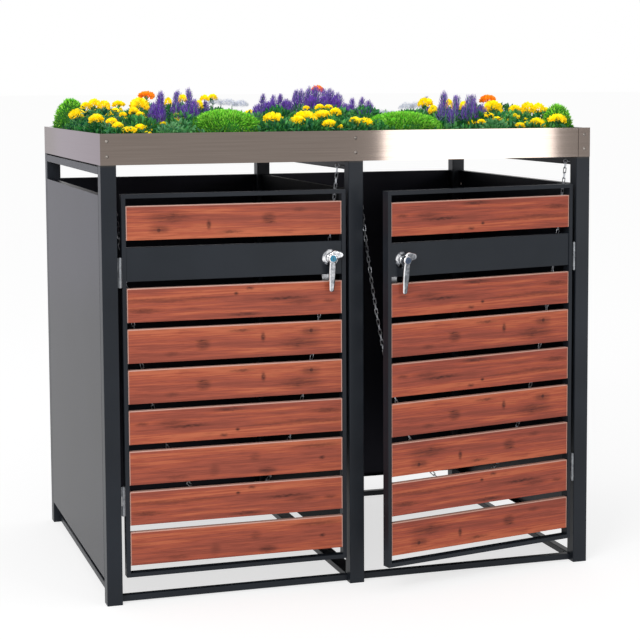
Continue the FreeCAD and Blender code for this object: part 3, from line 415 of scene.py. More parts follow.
def woodLook(name, turn, middle, look):
    # wood print in a satin lacquer on folded sheet: reddish brown boards with a straight grain in broad
    # bands, knots and dark smudges. There are three prints, some laid turned round. Board
    # k = floor((z - lowest) / pitch) takes its print and its turn from a ramp of steps, and
    # x' = x cos(turn) + y sin(turn) runs along it.
    s = woodSettings
    material, tree = newMaterial(name)
    straight = addNode(tree, "Mapping", links={
        "Vector": addNode(tree, "TexCoord").outputs["Object"], "Rotation": (0, 0, -turn)})
    axes = addNode(tree, "SeparateXYZ", links={"Vector": straight})
    rise = addNode(tree, "Math", "SUBTRACT",
                   {0: axes.outputs["Z"], 1: slatBox[0].z - (slatPitch - slatHeight) / 2})
    row = addNode(tree, "Math", "DIVIDE", {0: rise, 1: slatPitch})
    inBoard = addNode(tree, "Math", "FRACT", {0: row})
    up = addNode(tree, "Math", "MULTIPLY_ADD", {0: inBoard, 1: slatPitch, 2: -slatPitch / 2})
    along = addNode(tree, "Math", "SUBTRACT", {0: axes.outputs["X"], 1: middle})

    # red is 1 where a print is turned round; green is 1 for the second print and blue for the third
    boards = look["boards"]
    share = addNode(tree, "Math", "DIVIDE", {0: row, 1: len(boards)})
    stops = [(k / len(boards), boardCodes[letter]) for k, letter in enumerate(boards)]
    codes = addNode(tree, "ValToRGB", {"stops": stops}, {"Fac": share})
    codes.color_ramp.interpolation = "CONSTANT"
    choice = addNode(tree, "SeparateColor", links={"Color": codes})
    sign = addNode(tree, "Math", "MULTIPLY_ADD", {0: choice.outputs["Red"], 1: -2.0, 2: 1.0})
    sheet = addNode(tree, "Math", "MULTIPLY_ADD",
                    {0: choice.outputs["Blue"], 1: 2.0, 2: choice.outputs["Green"]})
    flat = addNode(tree, "CombineXYZ", links={"X": along, "Z": up})
    laid = addNode(tree, "VectorMath", "SCALE", {0: flat, "Scale": sign})
    shift = addNode(tree, "Math", "MULTIPLY", {0: sheet, 1: s["apart"]})
    apart = addNode(tree, "CombineXYZ", links={"Z": shift})
    spot = addNode(tree, "VectorMath", "ADD", {0: laid, 1: apart})

    def pattern(acrossMm, alongMm, move, detail):
        # noise stretched along the board: one wave is alongMm long and acrossMm high
        scaled = addNode(tree, "Mapping", links={
            "Vector": spot, "Scale": (1000 / alongMm, 1.0, 1000 / acrossMm),
            "Location": (s["seed"] * move, 0, move)})
        return addNode(tree, "TexNoise", links={
            "Vector": scaled, "Scale": 1.0, "Detail": detail, "Roughness": 0.6, "Distortion": 0.5})

    # the tone: fine grain, broad bands, and paler towards the print's own top
    grain = pattern(*s["grain"])
    height = addNode(tree, "SeparateXYZ", links={"Vector": laid}).outputs["Z"]
    mixed = addNode(tree, "Math", "MULTIPLY_ADD", {0: pattern(*s["bands"]), 1: s["bandWeight"], 2: grain})
    lifted = addNode(tree, "Math", "MULTIPLY_ADD", {0: height, 1: s["riseWeight"], 2: mixed})
    tone = addNode(tree, "MapRange", links={
        "Value": lifted, "From Min": s["tone"][0], "From Max": s["tone"][1]})
    stops = [(0.0, look["deep"]), (0.34, look["rosy"]), (0.62, look["middle"]), (1.0, look["pale"])]
    ground = addNode(tree, "ValToRGB", {"stops": stops}, {"Fac": tone})

    # smudges: darkest near the middle and gone at one and a half of the smudge's own two radii, and worn
    # away by fine streaks
    wander = addNode(tree, "TexNoise", links={"Vector": spot, "Scale": 1000 / s["wanderMm"], "Detail": 2.0})
    bent = addNode(tree, "VectorMath", "MULTIPLY_ADD",
                   {0: wander.outputs["Color"], 1: (s["wanderBy"], 0, s["wanderBy"]), 2: spot})
    dark = 0.0
    for sheetNumber, x, z, reachX, reachZ, strength in smudges:
        scale = (1000 / reachX, 0, 1000 / reachZ)
        centre = (x / 1000 + s["wanderBy"] / 2, 0, z / 1000 + s["wanderBy"] / 2 + sheetNumber * s["apart"])
        near = addNode(tree, "Mapping", links={
            "Vector": bent, "Scale": scale, "Location": [-a * b for a, b in zip(centre, scale)]})
        away = addNode(tree, "VectorMath", "LENGTH", {0: near})
        mask = addNode(tree, "MapRange", {"interpolation_type": "SMOOTHSTEP"}, {
            "Value": away.outputs["Value"], "From Min": s["smudgeFade"][0], "From Max": s["smudgeFade"][1],
            "To Max": min(1.0, s["smudgeGain"] * strength)})
        dark = addNode(tree, "Math", "MAXIMUM", {0: mask, 1: dark})
    worn = addNode(tree, "MapRange", links={
        "Value": pattern(*s["wear"]), "From Min": 0.38, "From Max": 0.6, "To Min": 0.55, "To Max": 1.1})
    smudged = addNode(tree, "Math", "MULTIPLY", {0: dark, 1: worn})
    streaks = addNode(tree, "MapRange", {"interpolation_type": "SMOOTHSTEP"}, {
        "Value": pattern(*s["streaks"]), "From Min": 0.48, "From Max": 0.7, "To Max": 0.42})
    veined = addNode(tree, "Mix", {"data_type": "RGBA"},
                     {0: streaks, 6: ground, 7: hexColour(look["vein"])})
    knotted = addNode(tree, "Mix", {"data_type": "RGBA"},
                      {0: smudged, 6: veined.outputs[2], 7: hexColour(look["knot"])})

    # painted highlight along the folds: the top edge and the ends of each board are paler
    far = addNode(tree, "Math", "ABSOLUTE", {0: along})
    highlightMasks = []
    for place, half, highlightReach in ((up, slatHeight / 2, s["topHighlightBand"]), (far, slatHalf, s["endHighlightBand"])):
        highlightMasks.append(addNode(tree, "MapRange", links={
            "Value": place, "From Min": half - highlightReach[0], "From Max": half - highlightReach[1]}))
    edge = addNode(tree, "Math", "MAXIMUM", {0: highlightMasks[0], 1: highlightMasks[1]})
    pale = addNode(tree, "Math", "MULTIPLY", {0: edge, 1: s["foldHighlightShare"]})
    colour = addNode(tree, "Mix", {"data_type": "RGBA"},
                     {0: pale, 6: knotted.outputs[2], 7: hexColour(look["edge"])})
    finishMaterial(tree, {
        "Base Color": colour.outputs[2], "Specular IOR Level": s["gloss"],
        **roughened(tree, grain, *s["roughness"], s["bump"])})
    return material


# boards are the print of each board from the bottom up, with a small letter for a print turned round. The
# eighth place is the plain band's.
boardCodes = {"A": "#000000", "B": "#00ff00", "C": "#0000ff", "a": "#ff0000", "b": "#ffff00"}
# smudges are print, place along and up from the board's middle, two radii in millimetres, and strength
smudges = [
    (0, 200, 19, 8, 8, 0.95), (0, 198, 17, 26, 12, 0.5), (0, 70, 9, 6, 12, 0.75),
    (0, -88, -4, 18, 13, 0.62), (0, -90, 6, 18, 3.4, 0.7), (0, 172, -12, 56, 15, 0.52),
    (0, 164, -16, 12, 8, 0.62), (0, 14, 28, 34, 3.6, 0.55), (0, -170, -24, 20, 6, 0.4),
    (1, 0, 20, 6, 5, 0.85), (1, 36, 33, 11, 4.4, 0.65), (1, 132, 3, 58, 4.2, 0.75),
    (1, 172, -7, 40, 8, 0.46), (1, -240, -15, 42, 6, 0.6), (1, 22, -34, 44, 5, 0.62),
    (1, -180, 11, 150, 6, 0.42), (1, 250, -8, 16, 5, 0.5), (2, 228, -6, 8, 5, 0.75),
    (2, 78, -30, 24, 9, 0.62), (2, 46, 8, 15, 11, 0.38), (2, 214, 27, 62, 6, 0.5),
    (2, -62, -18, 13, 16, 0.34), (2, -160, -30, 26, 6, 0.4)]
# a board's edge colour is the colour of the painted highlight along its top edge and ends
slatSettings = {
    "left": {"deep": "#924a3a", "rosy": "#a75542", "middle": "#b0583f", "pale": "#c26b4b",
        "vein": "#743428", "knot": "#4c241d", "edge": "#dcb4a6", "boards": "CBCbAABAa"},
    # the right door's colours are a little darker: painted shade, as that door stands turned away from the
    # light
    "right": {"deep": "#8c4536", "rosy": "#a2503f", "middle": "#aa523b", "pale": "#bd6546",
        "vein": "#6c2f24", "knot": "#45201a", "edge": "#d2a898", "boards": "aBaAbAbAb"}}
hinge = Vector(joints["door_right_swing"]["pos_m"])
slatMiddle = (slatBox[0].x + slatBox[1].x) / 2
middles = {"left": slatMiddle,
           "right": -slatMiddle - hinge.x + hinge.x * math.cos(ajarTurn) + hinge.y * math.sin(ajarTurn)}
for side, turn in (("left", 0.0), ("right", ajarTurn)):
    wood = woodLook(f"woodPrint{side.title()}", turn, middles[side], slatSettings[side])
    paint([f"door_slats_{side}"], wood)
print("slats finished")


# the planting: many copies of small leaves, petals and florets

bedLow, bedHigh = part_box("ground_cover")
bedTop = bedHigh.z
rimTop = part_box("planter_left")[1].z
# angles in radians, and how deep leaves and cushions stand in the bed, in metres
goldenAngle = 2.399963
fullTurn = 6.283
anyStart = (0, 6)
rootDepth = 0.012


def plantMaterial(name, roughness, patchMm, glow):
    # living leaves or petals: waxy and half matt, coloured by each point's tint, with uneven patches. A
    # little glow of their own colour is painted light: it brightens them and stands for the light that
    # comes through them.
    material, tree = newMaterial(name)
    tint = addNode(tree, "Attribute", {"attribute_name": "tint"})
    patch = addNode(tree, "TexNoise", links={
        "Vector": addNode(tree, "TexCoord").outputs["Object"], "Scale": 1000 / patchMm, "Detail": 3.0})
    level = addNode(tree, "MapRange", links={
        "Value": patch, "From Min": 0.3, "From Max": 0.7, "To Min": 0.75, "To Max": 1.2})
    colour = addNode(tree, "VectorMath", "SCALE", {0: tint, "Scale": level})
    finishMaterial(tree, {
        "Base Color": colour, "Roughness": roughness, "Specular IOR Level": 0.3,
        "Emission Color": colour, "Emission Strength": glow})
    return material


def turns(azimuth, tilt, spin):
    # Rz(azimuth) Ry(tilt) Rz(spin) for whole arrays: tilt 0 leaves a shape's +Z upright
    ca, sa, ct, st = np.cos(azimuth), np.sin(azimuth), np.cos(tilt), np.sin(tilt)
    cs, ss = np.cos(spin), np.sin(spin)
    rows = [[ca * ct * cs - sa * ss, -ca * ct * ss - sa * cs, ca * st],
            [sa * ct * cs + ca * ss, -sa * ct * ss + ca * cs, sa * st],
            [-st * cs, st * ss, ct]]
    return np.moveaxis(np.array(rows), 2, 0)


def turnsAlong(out, wobble):
    # turns that carry +Z to the given directions, give or take a wobble
    azimuth = np.arctan2(out[:, 1], out[:, 0])
    tilt = np.arccos(out[:, 2].clip(-1, 1)) + random.normal(0, wobble, len(out))
    return turns(azimuth, tilt, random.uniform(0, 2 * math.pi, len(out)))


def scatter(shape, places, turning, sizes, tints):
    # copies of one small shape: point = place + turn (size * shape point); shape is (points, faces,
    # painted shades)
    points, faces, paintedShades = shape
    count = len(places)
    moved = np.einsum("nij,kj->nki", turning, points) * sizes.reshape(count, 1, 1) + places[:, None]
    allFaces = faces[None] + (np.arange(count) * len(points))[:, None, None]
    colours = tints[:, None, :] * paintedShades[None, :, None]
    return moved.reshape(-1, 3), allFaces.reshape(-1, 4), colours.reshape(-1, 3)


def joined(groups):
    # several groups of points, faces and tints as one, with all that is below the rim kept between the
    # planter's fascias
    starts = np.cumsum([0] + [len(group[0]) for group in groups[:-1]])
    points = np.concatenate([group[0] for group in groups])
    low = points[:, 2] < rimTop
    points[low, :2] = points[low, :2].clip((bedLow.x, bedLow.y), (bedHigh.x, bedHigh.y))
    return (points, np.concatenate([group[1] + start for group, start in zip(groups, starts)]),
            np.concatenate([group[2] for group in groups]))


def tintMix(count, codes, spread=0.12):
    # a random blend of the given colours, each a little brighter or darker
    colours = np.array([hexColour(code)[:3] for code in codes])
    weights = random.dirichlet(np.full(len(codes), 0.6), count)
    return (weights @ colours) * (1 + random.normal(0, spread, (count, 1))).clip(0.6, 1.4)


def blade(width, bow, steps, base=0.5):
    # a leaf or petal one unit long: half width = width sin(pi t^0.8), bowed forwards by bow t^2. Its colour
    # carries painted shade and light: from base at its foot, darker low down, to 1.1 at its tip.
    t = np.linspace(0, 1, steps + 1)
    half = width * np.sin(math.pi * t ** 0.8).clip(0.12, 1)
    edges = [np.column_stack([bow * t ** 2, side * half, t]) for side in (-1, 1)]
    k = np.arange(steps) * 2
    faces = np.column_stack([k, k + 1, k + 3, k + 2])
    return np.stack(edges, 1).reshape(-1, 3), faces, np.repeat(base + (1.1 - base) * t, 2)


def stalk(places, feet, radius, codes):
    # four-sided stems from feet to places: point = foot + t (place - foot) + radius (cos a, sin a, 0)
    count = len(places)
    angle = np.arange(4) * math.pi / 2
    ring = radius * np.column_stack([np.cos(angle), np.sin(angle), np.zeros(4)])
    points = np.concatenate([feet[:, None] + ring[None], places[:, None] + ring[None]], 1)
    k = np.arange(4)
    faces = np.column_stack([k, (k + 1) % 4, (k + 1) % 4 + 4, k + 4])
    allFaces = faces[None] + (np.arange(count) * 8)[:, None, None]
    return points.reshape(-1, 3), allFaces.reshape(-1, 4), np.repeat(tintMix(count, codes), 8, axis=0)


def dome(x, y, top, radius, rings=14, around=30):
    # half ball from (radius, top), closed at its pole, with lumps:
    # r = 1 + (0.05 sin 5a sin 4u + 0.03 sin 11a) sin u
    u, a = np.meshgrid(np.linspace(0, math.pi / 2, rings), np.arange(around) * 2 * math.pi / around,
                       indexing="ij")
    lump = 1 + (0.05 * np.sin(5 * a) * np.sin(4 * u) + 0.03 * np.sin(11 * a)) * np.sin(u)
    height = top - bedTop + rootDepth
    points = np.stack([x + radius * lump * np.sin(u) * np.cos(a), y + radius * lump * np.sin(u) * np.sin(a),
                       bedTop - rootDepth + height * np.cos(u)], -1)
    return points.reshape(-1, 3), polarFaces(rings, around)


def domeSpots(x, y, top, radius, count):
    # evenly spread places on that half ball, by the golden angle, and the directions out of it
    k = np.arange(count) + 0.5
    up = 1 - k / count
    azimuth = k * goldenAngle + random.uniform(*anyStart)
    flat = np.sqrt(1 - up ** 2)
    out = np.column_stack([flat * np.cos(azimuth), flat * np.sin(azimuth), up])
    height = top - bedTop + rootDepth
    return np.array([x, y, bedTop - rootDepth]) + out * np.array([radius, radius, height]), out


def fromRim(rows):
    # rows of x, y, height over the rim and other sizes, with the height made one over the floor
    rows = np.array(rows, float)
    rows[:, 2] += rimTop * 1000
    return rows


def inBed(flat, margin):
    # places pushed back to within a margin of the bed's edges
    return flat.clip((bedLow.x + margin, bedLow.y + margin), (bedHigh.x - margin, bedHigh.y - margin))


def rootedLeaves(shape, places, out, lean, depth, heights, codes):
    # leaves that stand in the bed below the given places, and lean outwards by their share of out
    feet = places * (1, 1, 0) + (0, 0, bedTop - depth)
    turning = turnsAlong(out * (lean, lean, 1), 0.2)
    return scatter(shape, feet, turning, heights, tintMix(len(places), codes))


# a tuft or a clump is x, y, height over the rim and radius in millimetres, and those in the front rows
# stand where the photo shows them
coverSettings = {
    "leaves": 7600, "leafMm": (9, 19), "tuftLeafMm": (9, 18), "perMetre": 6800, "bed": "#14210f",
    "hexes": ["#15583a", "#257a3c", "#3f9a3a", "#6fc058", "#1a6458"],
    "tufts": [
        (-190, 60, 32, 52), (-110, 50, 30, 50), (-40, 60, 32, 54), (30, 60, 26, 46), (95, 60, 20, 28),
        (-20, 150, 60, 84), (-150, 200, 60, 50), (95, 190, 60, 50), (-600, 40, 15, 40),
        (-555, 80, 40, 54), (-500, 150, 55, 54), (-430, 120, 50, 56), (-420, 230, 70, 60),
        (-355, 250, 60, 46), (-620, 220, 45, 40), (-600, 330, 60, 52), (330, 200, 50, 48),
        (390, 140, 48, 50), (455, 110, 38, 52), (525, 80, 16, 40), (520, 150, 42, 54),
        (600, 120, 40, 44), (440, 260, 60, 60), (560, 300, 60, 60), (-590, 560, 40, 60),
        (-470, 420, 70, 56), (-120, 330, 60, 60), (20, 330, 65, 60), (300, 330, 45, 60),
        (-290, 300, 55, 50), (-300, 540, 35, 60), (-60, 560, 40, 60), (160, 480, 45, 60),
        (330, 560, 35, 60), (520, 640, 40, 60), (-420, 760, 40, 60), (-300, 860, 40, 44),
        (40, 800, 45, 60), (200, 850, 40, 50), (470, 850, 40, 44), (610, 760, 45, 40),
        (-100, 860, 40, 44), (350, 760, 35, 50)]}


def makeGroundCover(material):
    # a low leafy mat: a bed with z = bedTop - 14 mm + 4 mm sin 71x cos 63y, short leaves all over it, and
    # taller tufts
    s = coverSettings
    columns, rows = 90, 64
    u, v = np.meshgrid(np.linspace(bedLow.x, bedHigh.x, columns), np.linspace(bedLow.y, bedHigh.y, rows))
    edge = np.minimum.reduce([u - bedLow.x, bedHigh.x - u, v - bedLow.y, bedHigh.y - v])
    z = np.where(edge < 1e-4, bedLow.z + 0.001, bedTop - 0.014 + 0.004 * np.sin(u * 71) * np.cos(v * 63))
    bed = np.column_stack([u.ravel(), v.ravel(), z.ravel()])
    k = (np.arange(rows - 1)[:, None] * columns + np.arange(columns - 1)[None]).ravel()
    # the bed's dark green is painted shade, deep in the mat under the leaves
    mat = (bed, np.column_stack([k, k + 1, k + columns + 1, k + columns]),
           np.tile(hexColour(s["bed"])[:3], (len(bed), 1)))
    count = s["leaves"]
    places = np.column_stack([random.uniform(bedLow.x + 0.006, bedHigh.x - 0.006, count),
                              random.uniform(bedLow.y + 0.004, bedHigh.y - 0.006, count),
                              random.uniform(bedTop - 0.018, bedTop - 0.004, count)])
    turning = turns(random.uniform(0, fullTurn, count), random.uniform(0.2, 1.2, count),
                    random.uniform(0, fullTurn, count))
    sizes = random.uniform(*s["leafMm"], count) / 1000
    groups = [mat, scatter(blade(0.24, 0.35, 2), places, turning, sizes, tintMix(count, s["hexes"]))]
    for x, y, top, radius in fromRim(s["tufts"]) / 1000:
        places, out = domeSpots(x, y, top - 0.008, radius, int(radius * s["perMetre"]))
        # painted shade: leaves low on a tuft are darker and those on its top lighter
        tints = tintMix(len(places), s["hexes"], 0.2) * (0.6 + 0.6 * out[:, 2:])
        groups.append(scatter(blade(0.26, 0.4, 2), places, turnsAlong(out, 0.6),
                              random.uniform(*s["tuftLeafMm"], len(places)) / 1000, tints))
        inner = places[::3]
        groups.append(rootedLeaves(blade(0.16, 0.2, 3), inner, out[::3], 0.4, 0.01,
                                   (inner[:, 2] - bedTop + 0.012).clip(0.01), s["hexes"][:3]))
    points, faces, tints = joined(groups)
    points[:, 2] = points[:, 2].clip(bedLow.z + 0.0008)
    piece = buildMesh("groundCoverLeaves", points, faces, tints, material, "store")
    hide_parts("ground_cover")


cushionSettings = {
    "bladeMm": (6, 12), "perMetreSquared": 70000, "hexes": ["#62c926", "#8ae03c", "#3fae22", "#b4f05c"],
    # shade is the dark dome's colour: painted shade between the blades
    "shade": "#1c5f14",
    "clumps": [
        (-610, 790, 84, 52), (-320, 105, 56, 104), (175, 110, 46, 110), (610, 60, 64, 42),
        (-500, 640, 50, 62), (-180, 700, 36, 74), (420, 690, 36, 84), (595, 480, 58, 50),
        (80, 640, 46, 56), (-40, 430, 44, 50), (560, 855, 46, 40), (-600, 440, 40, 40)]}


def makeCushions(material):
    # moss-like cushions: a lumpy dark dome, painted shade between the blades, under short bright blades
    # that stand out from it
    s = cushionSettings
    groups = []
    for x, y, top, radius in fromRim(s["clumps"]) / 1000:
        core, faces = dome(x, y, top - 0.006, radius - 0.005)
        groups.append((core, faces, np.tile(hexColour(s["shade"])[:3], (len(core), 1))))
        count = int(2 * math.pi * radius * radius * s["perMetreSquared"])
        places, out = domeSpots(x, y, top - 0.008, radius - 0.007, count)
        # painted shade: blades low on a cushion are darker and those on its top lighter
        tints = tintMix(count, s["hexes"], 0.2) * (0.5 + 0.7 * out[:, 2:] ** 0.7)
        groups.append(scatter(blade(0.17, 0.3, 2, 0.3), places, turnsAlong(out, 0.35),
                              random.uniform(*s["bladeMm"], count) / 1000, tints))
    piece = buildMesh("mossCushions", *joined(groups), material, "store")
    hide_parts("cushion_plants")


# heads are x, y, height of the top over the rim, half width and height in millimetres, then 1 for an orange
# one. Sprinkles are small heads over a round patch: x, y, height over the rim, radius, and how many.
marigoldSettings = {
    "yellow": ["#fdf000", "#fff63c", "#ffe800"], "yellowPaintedShade": ["#dfa000", "#efb400"],
    "orange": ["#ff9a1e", "#ffae2c"], "orangePaintedShade": ["#dd5c12", "#ea7418"],
    "leaf": ["#1d6048", "#2c8049", "#154f42", "#7cc486"],
    "petals": 80, "smallPetals": 22, "leaves": 22, "leafMm": (16, 32), "stemMm": 1.3,
    "sprinkles": [
        (-560, 60, 30, 66, 16), (-520, 130, 48, 50, 10), (-600, 250, 58, 46, 6), (-590, 340, 76, 44, 6),
        (530, 60, 26, 60, 14), (500, 130, 48, 46, 10), (600, 200, 58, 40, 12), (-440, 130, 46, 56, 14),
        (425, 120, 44, 56, 14), (-50, 180, 58, 60, 12), (-540, 700, 50, 70, 12), (560, 560, 50, 70, 12),
        (0, 780, 46, 60, 10)],
    "heads": [
        (-635, 520, 56, 24, 21, 0), (-645, 330, 76, 13, 17, 0), (-640, 220, 86, 17, 20, 0),
        (-630, 140, 82, 16, 19, 0), (-640, 190, 46, 20, 18, 0), (-580, 200, 80, 16, 12, 0),
        (-625, 60, 38, 13, 11, 0), (-615, 30, 28, 13, 12, 0), (-535, 150, 88, 25, 25, 0),
        (-485, 300, 104, 22, 15, 1), (-555, 120, 64, 13, 15, 0), (-545, 90, 52, 10, 8, 0),
        (-590, 10, 16, 19, 11, 0), (-560, 20, 22, 13, 10, 0), (-545, 10, 4, 12, 9, 0),
        (-605, 120, 62, 10, 8, 0), (-590, 90, 52, 9, 8, 0), (-435, 260, 88, 10, 21, 0),
        (-395, 260, 96, 11, 19, 0), (-360, 220, 80, 11, 20, 0), (-330, 280, 94, 12, 15, 0),
        (-305, 290, 96, 12, 14, 0), (-200, 60, 48, 26, 21, 0), (-110, 70, 50, 30, 21, 0),
        (-140, 40, 38, 20, 16, 0), (-60, 80, 52, 24, 18, 0), (-20, 90, 58, 15, 15, 0),
        (-60, 20, 28, 18, 14, 0), (20, 50, 34, 14, 13, 0), (45, 40, 32, 20, 17, 0),
        (-95, 110, 64, 8, 8, 0), (-55, 120, 68, 11, 11, 0), (-30, 120, 66, 11, 9, 0),
        (-30, 20, 16, 7, 8, 0), (5, 330, 118, 16, 15, 1), (300, 260, 82, 21, 20, 0),
        (300, 200, 62, 13, 21, 0), (370, 260, 78, 12, 25, 0), (415, 260, 72, 12, 22, 0),
        (505, 300, 88, 23, 17, 1), (470, 180, 72, 27, 26, 0), (545, 200, 60, 17, 15, 0),
        (575, 180, 68, 21, 25, 0), (600, 160, 66, 18, 25, 0), (620, 160, 54, 12, 14, 0),
        (590, 20, 36, 25, 18, 0), (550, 60, 26, 21, 19, 0), (485, 30, 14, 12, 9, 0),
        (420, 90, 40, 12, 8, 0), (435, 70, 30, 12, 8, 0), (385, 60, 24, 10, 8, 0),
        (-560, 700, 56, 22, 20, 0), (-450, 560, 62, 22, 20, 1), (-380, 840, 56, 22, 20, 0),
        (-260, 760, 36, 20, 18, 0), (-60, 800, 46, 22, 20, 0), (10, 720, 52, 20, 18, 0),
        (140, 780, 48, 22, 20, 0), (280, 860, 36, 20, 18, 1), (330, 460, 40, 18, 17, 0),
        (540, 560, 56, 22, 20, 0), (620, 640, 50, 20, 18, 1), (480, 780, 38, 20, 18, 0),
        (200, 560, 46, 20, 18, 0), (60, 500, 52, 20, 18, 0), (-160, 520, 40, 18, 17, 0),
        (-330, 420, 62, 18, 17, 0), (620, 850, 46, 20, 18, 0), (-200, 870, 40, 20, 18, 0)]}


def flowerHeads(heads, petals, codes, shadeCodes):
    # ruffled pompoms: petals stand out of a flat half ball, place = foot + (r out x, r out y, h out z),
    # with painted shade low down, a deeper under colour, and the main colour on top. A petal is 1.8 mm plus
    # 0.42 half widths long.
    k = np.arange(petals) + 0.5
    up = 1 - k / petals
    azimuth = (k * goldenAngle)[None] + random.uniform(*anyStart, (len(heads), 1))
    flat = np.sqrt(1 - up ** 2)[None]
    out = np.stack([flat * np.cos(azimuth), flat * np.sin(azimuth), up[None] * np.ones_like(azimuth)], -1)
    half, height = heads[:, 3], heads[:, 4]
    length = half * 0.42 + 0.0018
    high = np.maximum(height - 0.8 * length, 0.3 * height)
    reach = np.stack([half * 0.64, half * 0.64, high], -1)
    feet = heads[:, :3] - np.outer(height, (0, 0, 1))
    places = feet[:, None] + reach[:, None] * out
    rise = out.reshape(-1, 3)[:, 2:] ** 0.4
    count = len(heads) * petals
    tints = tintMix(count, codes, 0.08) * rise + tintMix(count, shadeCodes, 0.1) * (1 - rise)
    return scatter(blade(0.6, -0.2, 2, 0.9), places.reshape(-1, 3), turnsAlong(out.reshape(-1, 3), 0.4),
                   np.repeat(length, petals), tints)


def makeMarigolds(material):
    # heads and sprinkles on stems, with leaves spread along each stem
    s = marigoldSettings
    heads = fromRim(s["heads"])
    heads[:, :5] /= 1000
    groups = [flowerHeads(heads[heads[:, 5] == 0], s["petals"], s["yellow"], s["yellowPaintedShade"]),
              flowerHeads(heads[heads[:, 5] == 1], s["petals"], s["orange"], s["orangePaintedShade"])]
    for x, y, top, radius, count in fromRim(s["sprinkles"]):
        count = int(count)
        a, r = random.uniform(0, fullTurn, count), radius * random.uniform(0, 1, count) ** 0.5
        small = np.column_stack([
            x + r * np.cos(a), y + r * np.sin(a), top - r * 0.5 + random.uniform(-8, 4, count),
            random.uniform(6, 10, count), random.uniform(5, 8, count)]) / 1000
        small[:, :2] = inBed(small[:, :2], 0.014)
        groups.append(flowerHeads(small, s["smallPetals"], s["yellow"], s["yellowPaintedShade"]))
    tops = heads[:, :3] - np.outer(heads[:, 4] * 0.8, (0, 0, 1))
    feet = np.column_stack([heads[:, 0] + random.normal(0, 0.008, len(heads)), heads[:, 1] + 0.012,
                            np.full(len(heads), bedTop - 0.02)])
    feet[:, :2] = inBed(feet[:, :2], 0.004)
    groups.append(stalk(tops, feet, s["stemMm"] / 1000, s["leaf"]))
    t = random.uniform(0.1, 0.9, (len(heads), s["leaves"], 1))
    places = (feet[:, None] * (1 - t) + tops[:, None] * t).reshape(-1, 3)
    count = len(places)
    turning = turns(random.uniform(0, fullTurn, count), random.uniform(0.5, 1.4, count), np.zeros(count))
    groups.append(scatter(blade(0.22, 0.3, 3, 0.4), places, turning,
                          random.uniform(*s["leafMm"], count) / 1000, tintMix(count, s["leaf"], 0.2)))
    piece = buildMesh("marigoldHeads", *joined(groups), material, "store")
    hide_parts("marigold_plants")


# clumps of spikes are x, y, height over the rim, spread and length in millimetres, and how many. Sage is
# their leafy feet: x, y, height over the rim and radius.
salviaSettings = {
    "florets": 84, "ringMm": 7.5, "floretMm": (13.8, 7.6), "sagePerMetre": 2600, "sageLeafMm": (10, 18),
    "violet": ["#6b35b2", "#8b57cc", "#431f90", "#5d2fa4", "#a789de", "#32176e"],
    "leaf": ["#3f8a4c", "#64a862", "#8cc488", "#2c7052"],
    "clumps": [
        (-485, 110, 102, 4, 50, 2), (-510, 100, 74, 3, 36, 2), (-490, 100, 72, 3, 34, 2),
        (-445, 110, 104, 3, 54, 2), (-410, 120, 110, 3, 58, 2), (-400, 100, 84, 3, 40, 2),
        (-430, 100, 70, 2, 32, 1), (300, 110, 96, 3, 62, 2), (280, 100, 66, 2, 44, 1),
        (330, 110, 90, 3, 60, 2), (370, 120, 88, 3, 60, 2), (385, 110, 80, 3, 52, 2),
        (310, 100, 58, 2, 36, 1), (350, 100, 64, 2, 40, 1), (-445, 310, 104, 9, 72, 5),
        (-500, 130, 76, 8, 62, 4), (-485, 110, 62, 8, 46, 4), (-395, 320, 106, 9, 70, 4),
        (-360, 340, 112, 7, 72, 3), (-375, 200, 80, 8, 56, 4), (-340, 230, 78, 6, 46, 3),
        (-410, 160, 70, 14, 50, 5), (-445, 130, 66, 12, 48, 4), (-160, 300, 98, 4, 40, 2),
        (-125, 320, 92, 4, 34, 2), (-105, 320, 96, 4, 34, 2), (-195, 230, 68, 13, 30, 5),
        (-160, 240, 76, 16, 28, 6), (-110, 240, 78, 14, 28, 5), (-70, 280, 104, 9, 44, 4),
        (-60, 270, 108, 8, 46, 3), (-40, 260, 112, 8, 50, 4), (-20, 260, 116, 9, 54, 4),
        (0, 250, 110, 8, 48, 3), (20, 260, 108, 9, 46, 4), (45, 270, 96, 10, 38, 4),
        (-45, 230, 86, 14, 32, 5), (-10, 220, 88, 14, 34, 5), (25, 230, 84, 14, 32, 5),
        (55, 220, 68, 12, 28, 4), (85, 260, 82, 5, 34, 2), (120, 280, 84, 6, 36, 2),
        (125, 240, 74, 8, 32, 3), (100, 190, 62, 14, 28, 5), (330, 330, 88, 5, 40, 2),
        (370, 300, 98, 8, 70, 4), (410, 300, 90, 7, 62, 3), (445, 270, 90, 10, 72, 5),
        (395, 130, 56, 9, 44, 4), (425, 150, 62, 10, 50, 4), (-370, 640, 56, 16, 40, 6),
        (-235, 480, 48, 14, 34, 4), (155, 400, 56, 14, 36, 5), (-5, 630, 50, 16, 36, 5),
        (265, 640, 40, 14, 32, 4), (595, 560, 56, 14, 38, 5), (-515, 850, 56, 14, 38, 5),
        (95, 870, 48, 12, 36, 4), (535, 760, 46, 14, 36, 4)],
    "sage": [
        (-480, 30, 26, 30), (-445, 60, 34, 32), (420, 50, 28, 32), (-205, 190, 50, 34),
        (105, 170, 42, 34), (-440, 300, 72, 36), (-380, 320, 68, 34), (-20, 260, 76, 46),
        (-70, 260, 68, 34), (40, 260, 66, 34), (-365, 650, 36, 40), (-230, 490, 32, 30),
        (160, 410, 38, 30), (0, 630, 34, 30), (270, 650, 28, 30), (595, 570, 38, 34),
        (-510, 850, 38, 34), (100, 870, 34, 30), (530, 770, 32, 30)]}


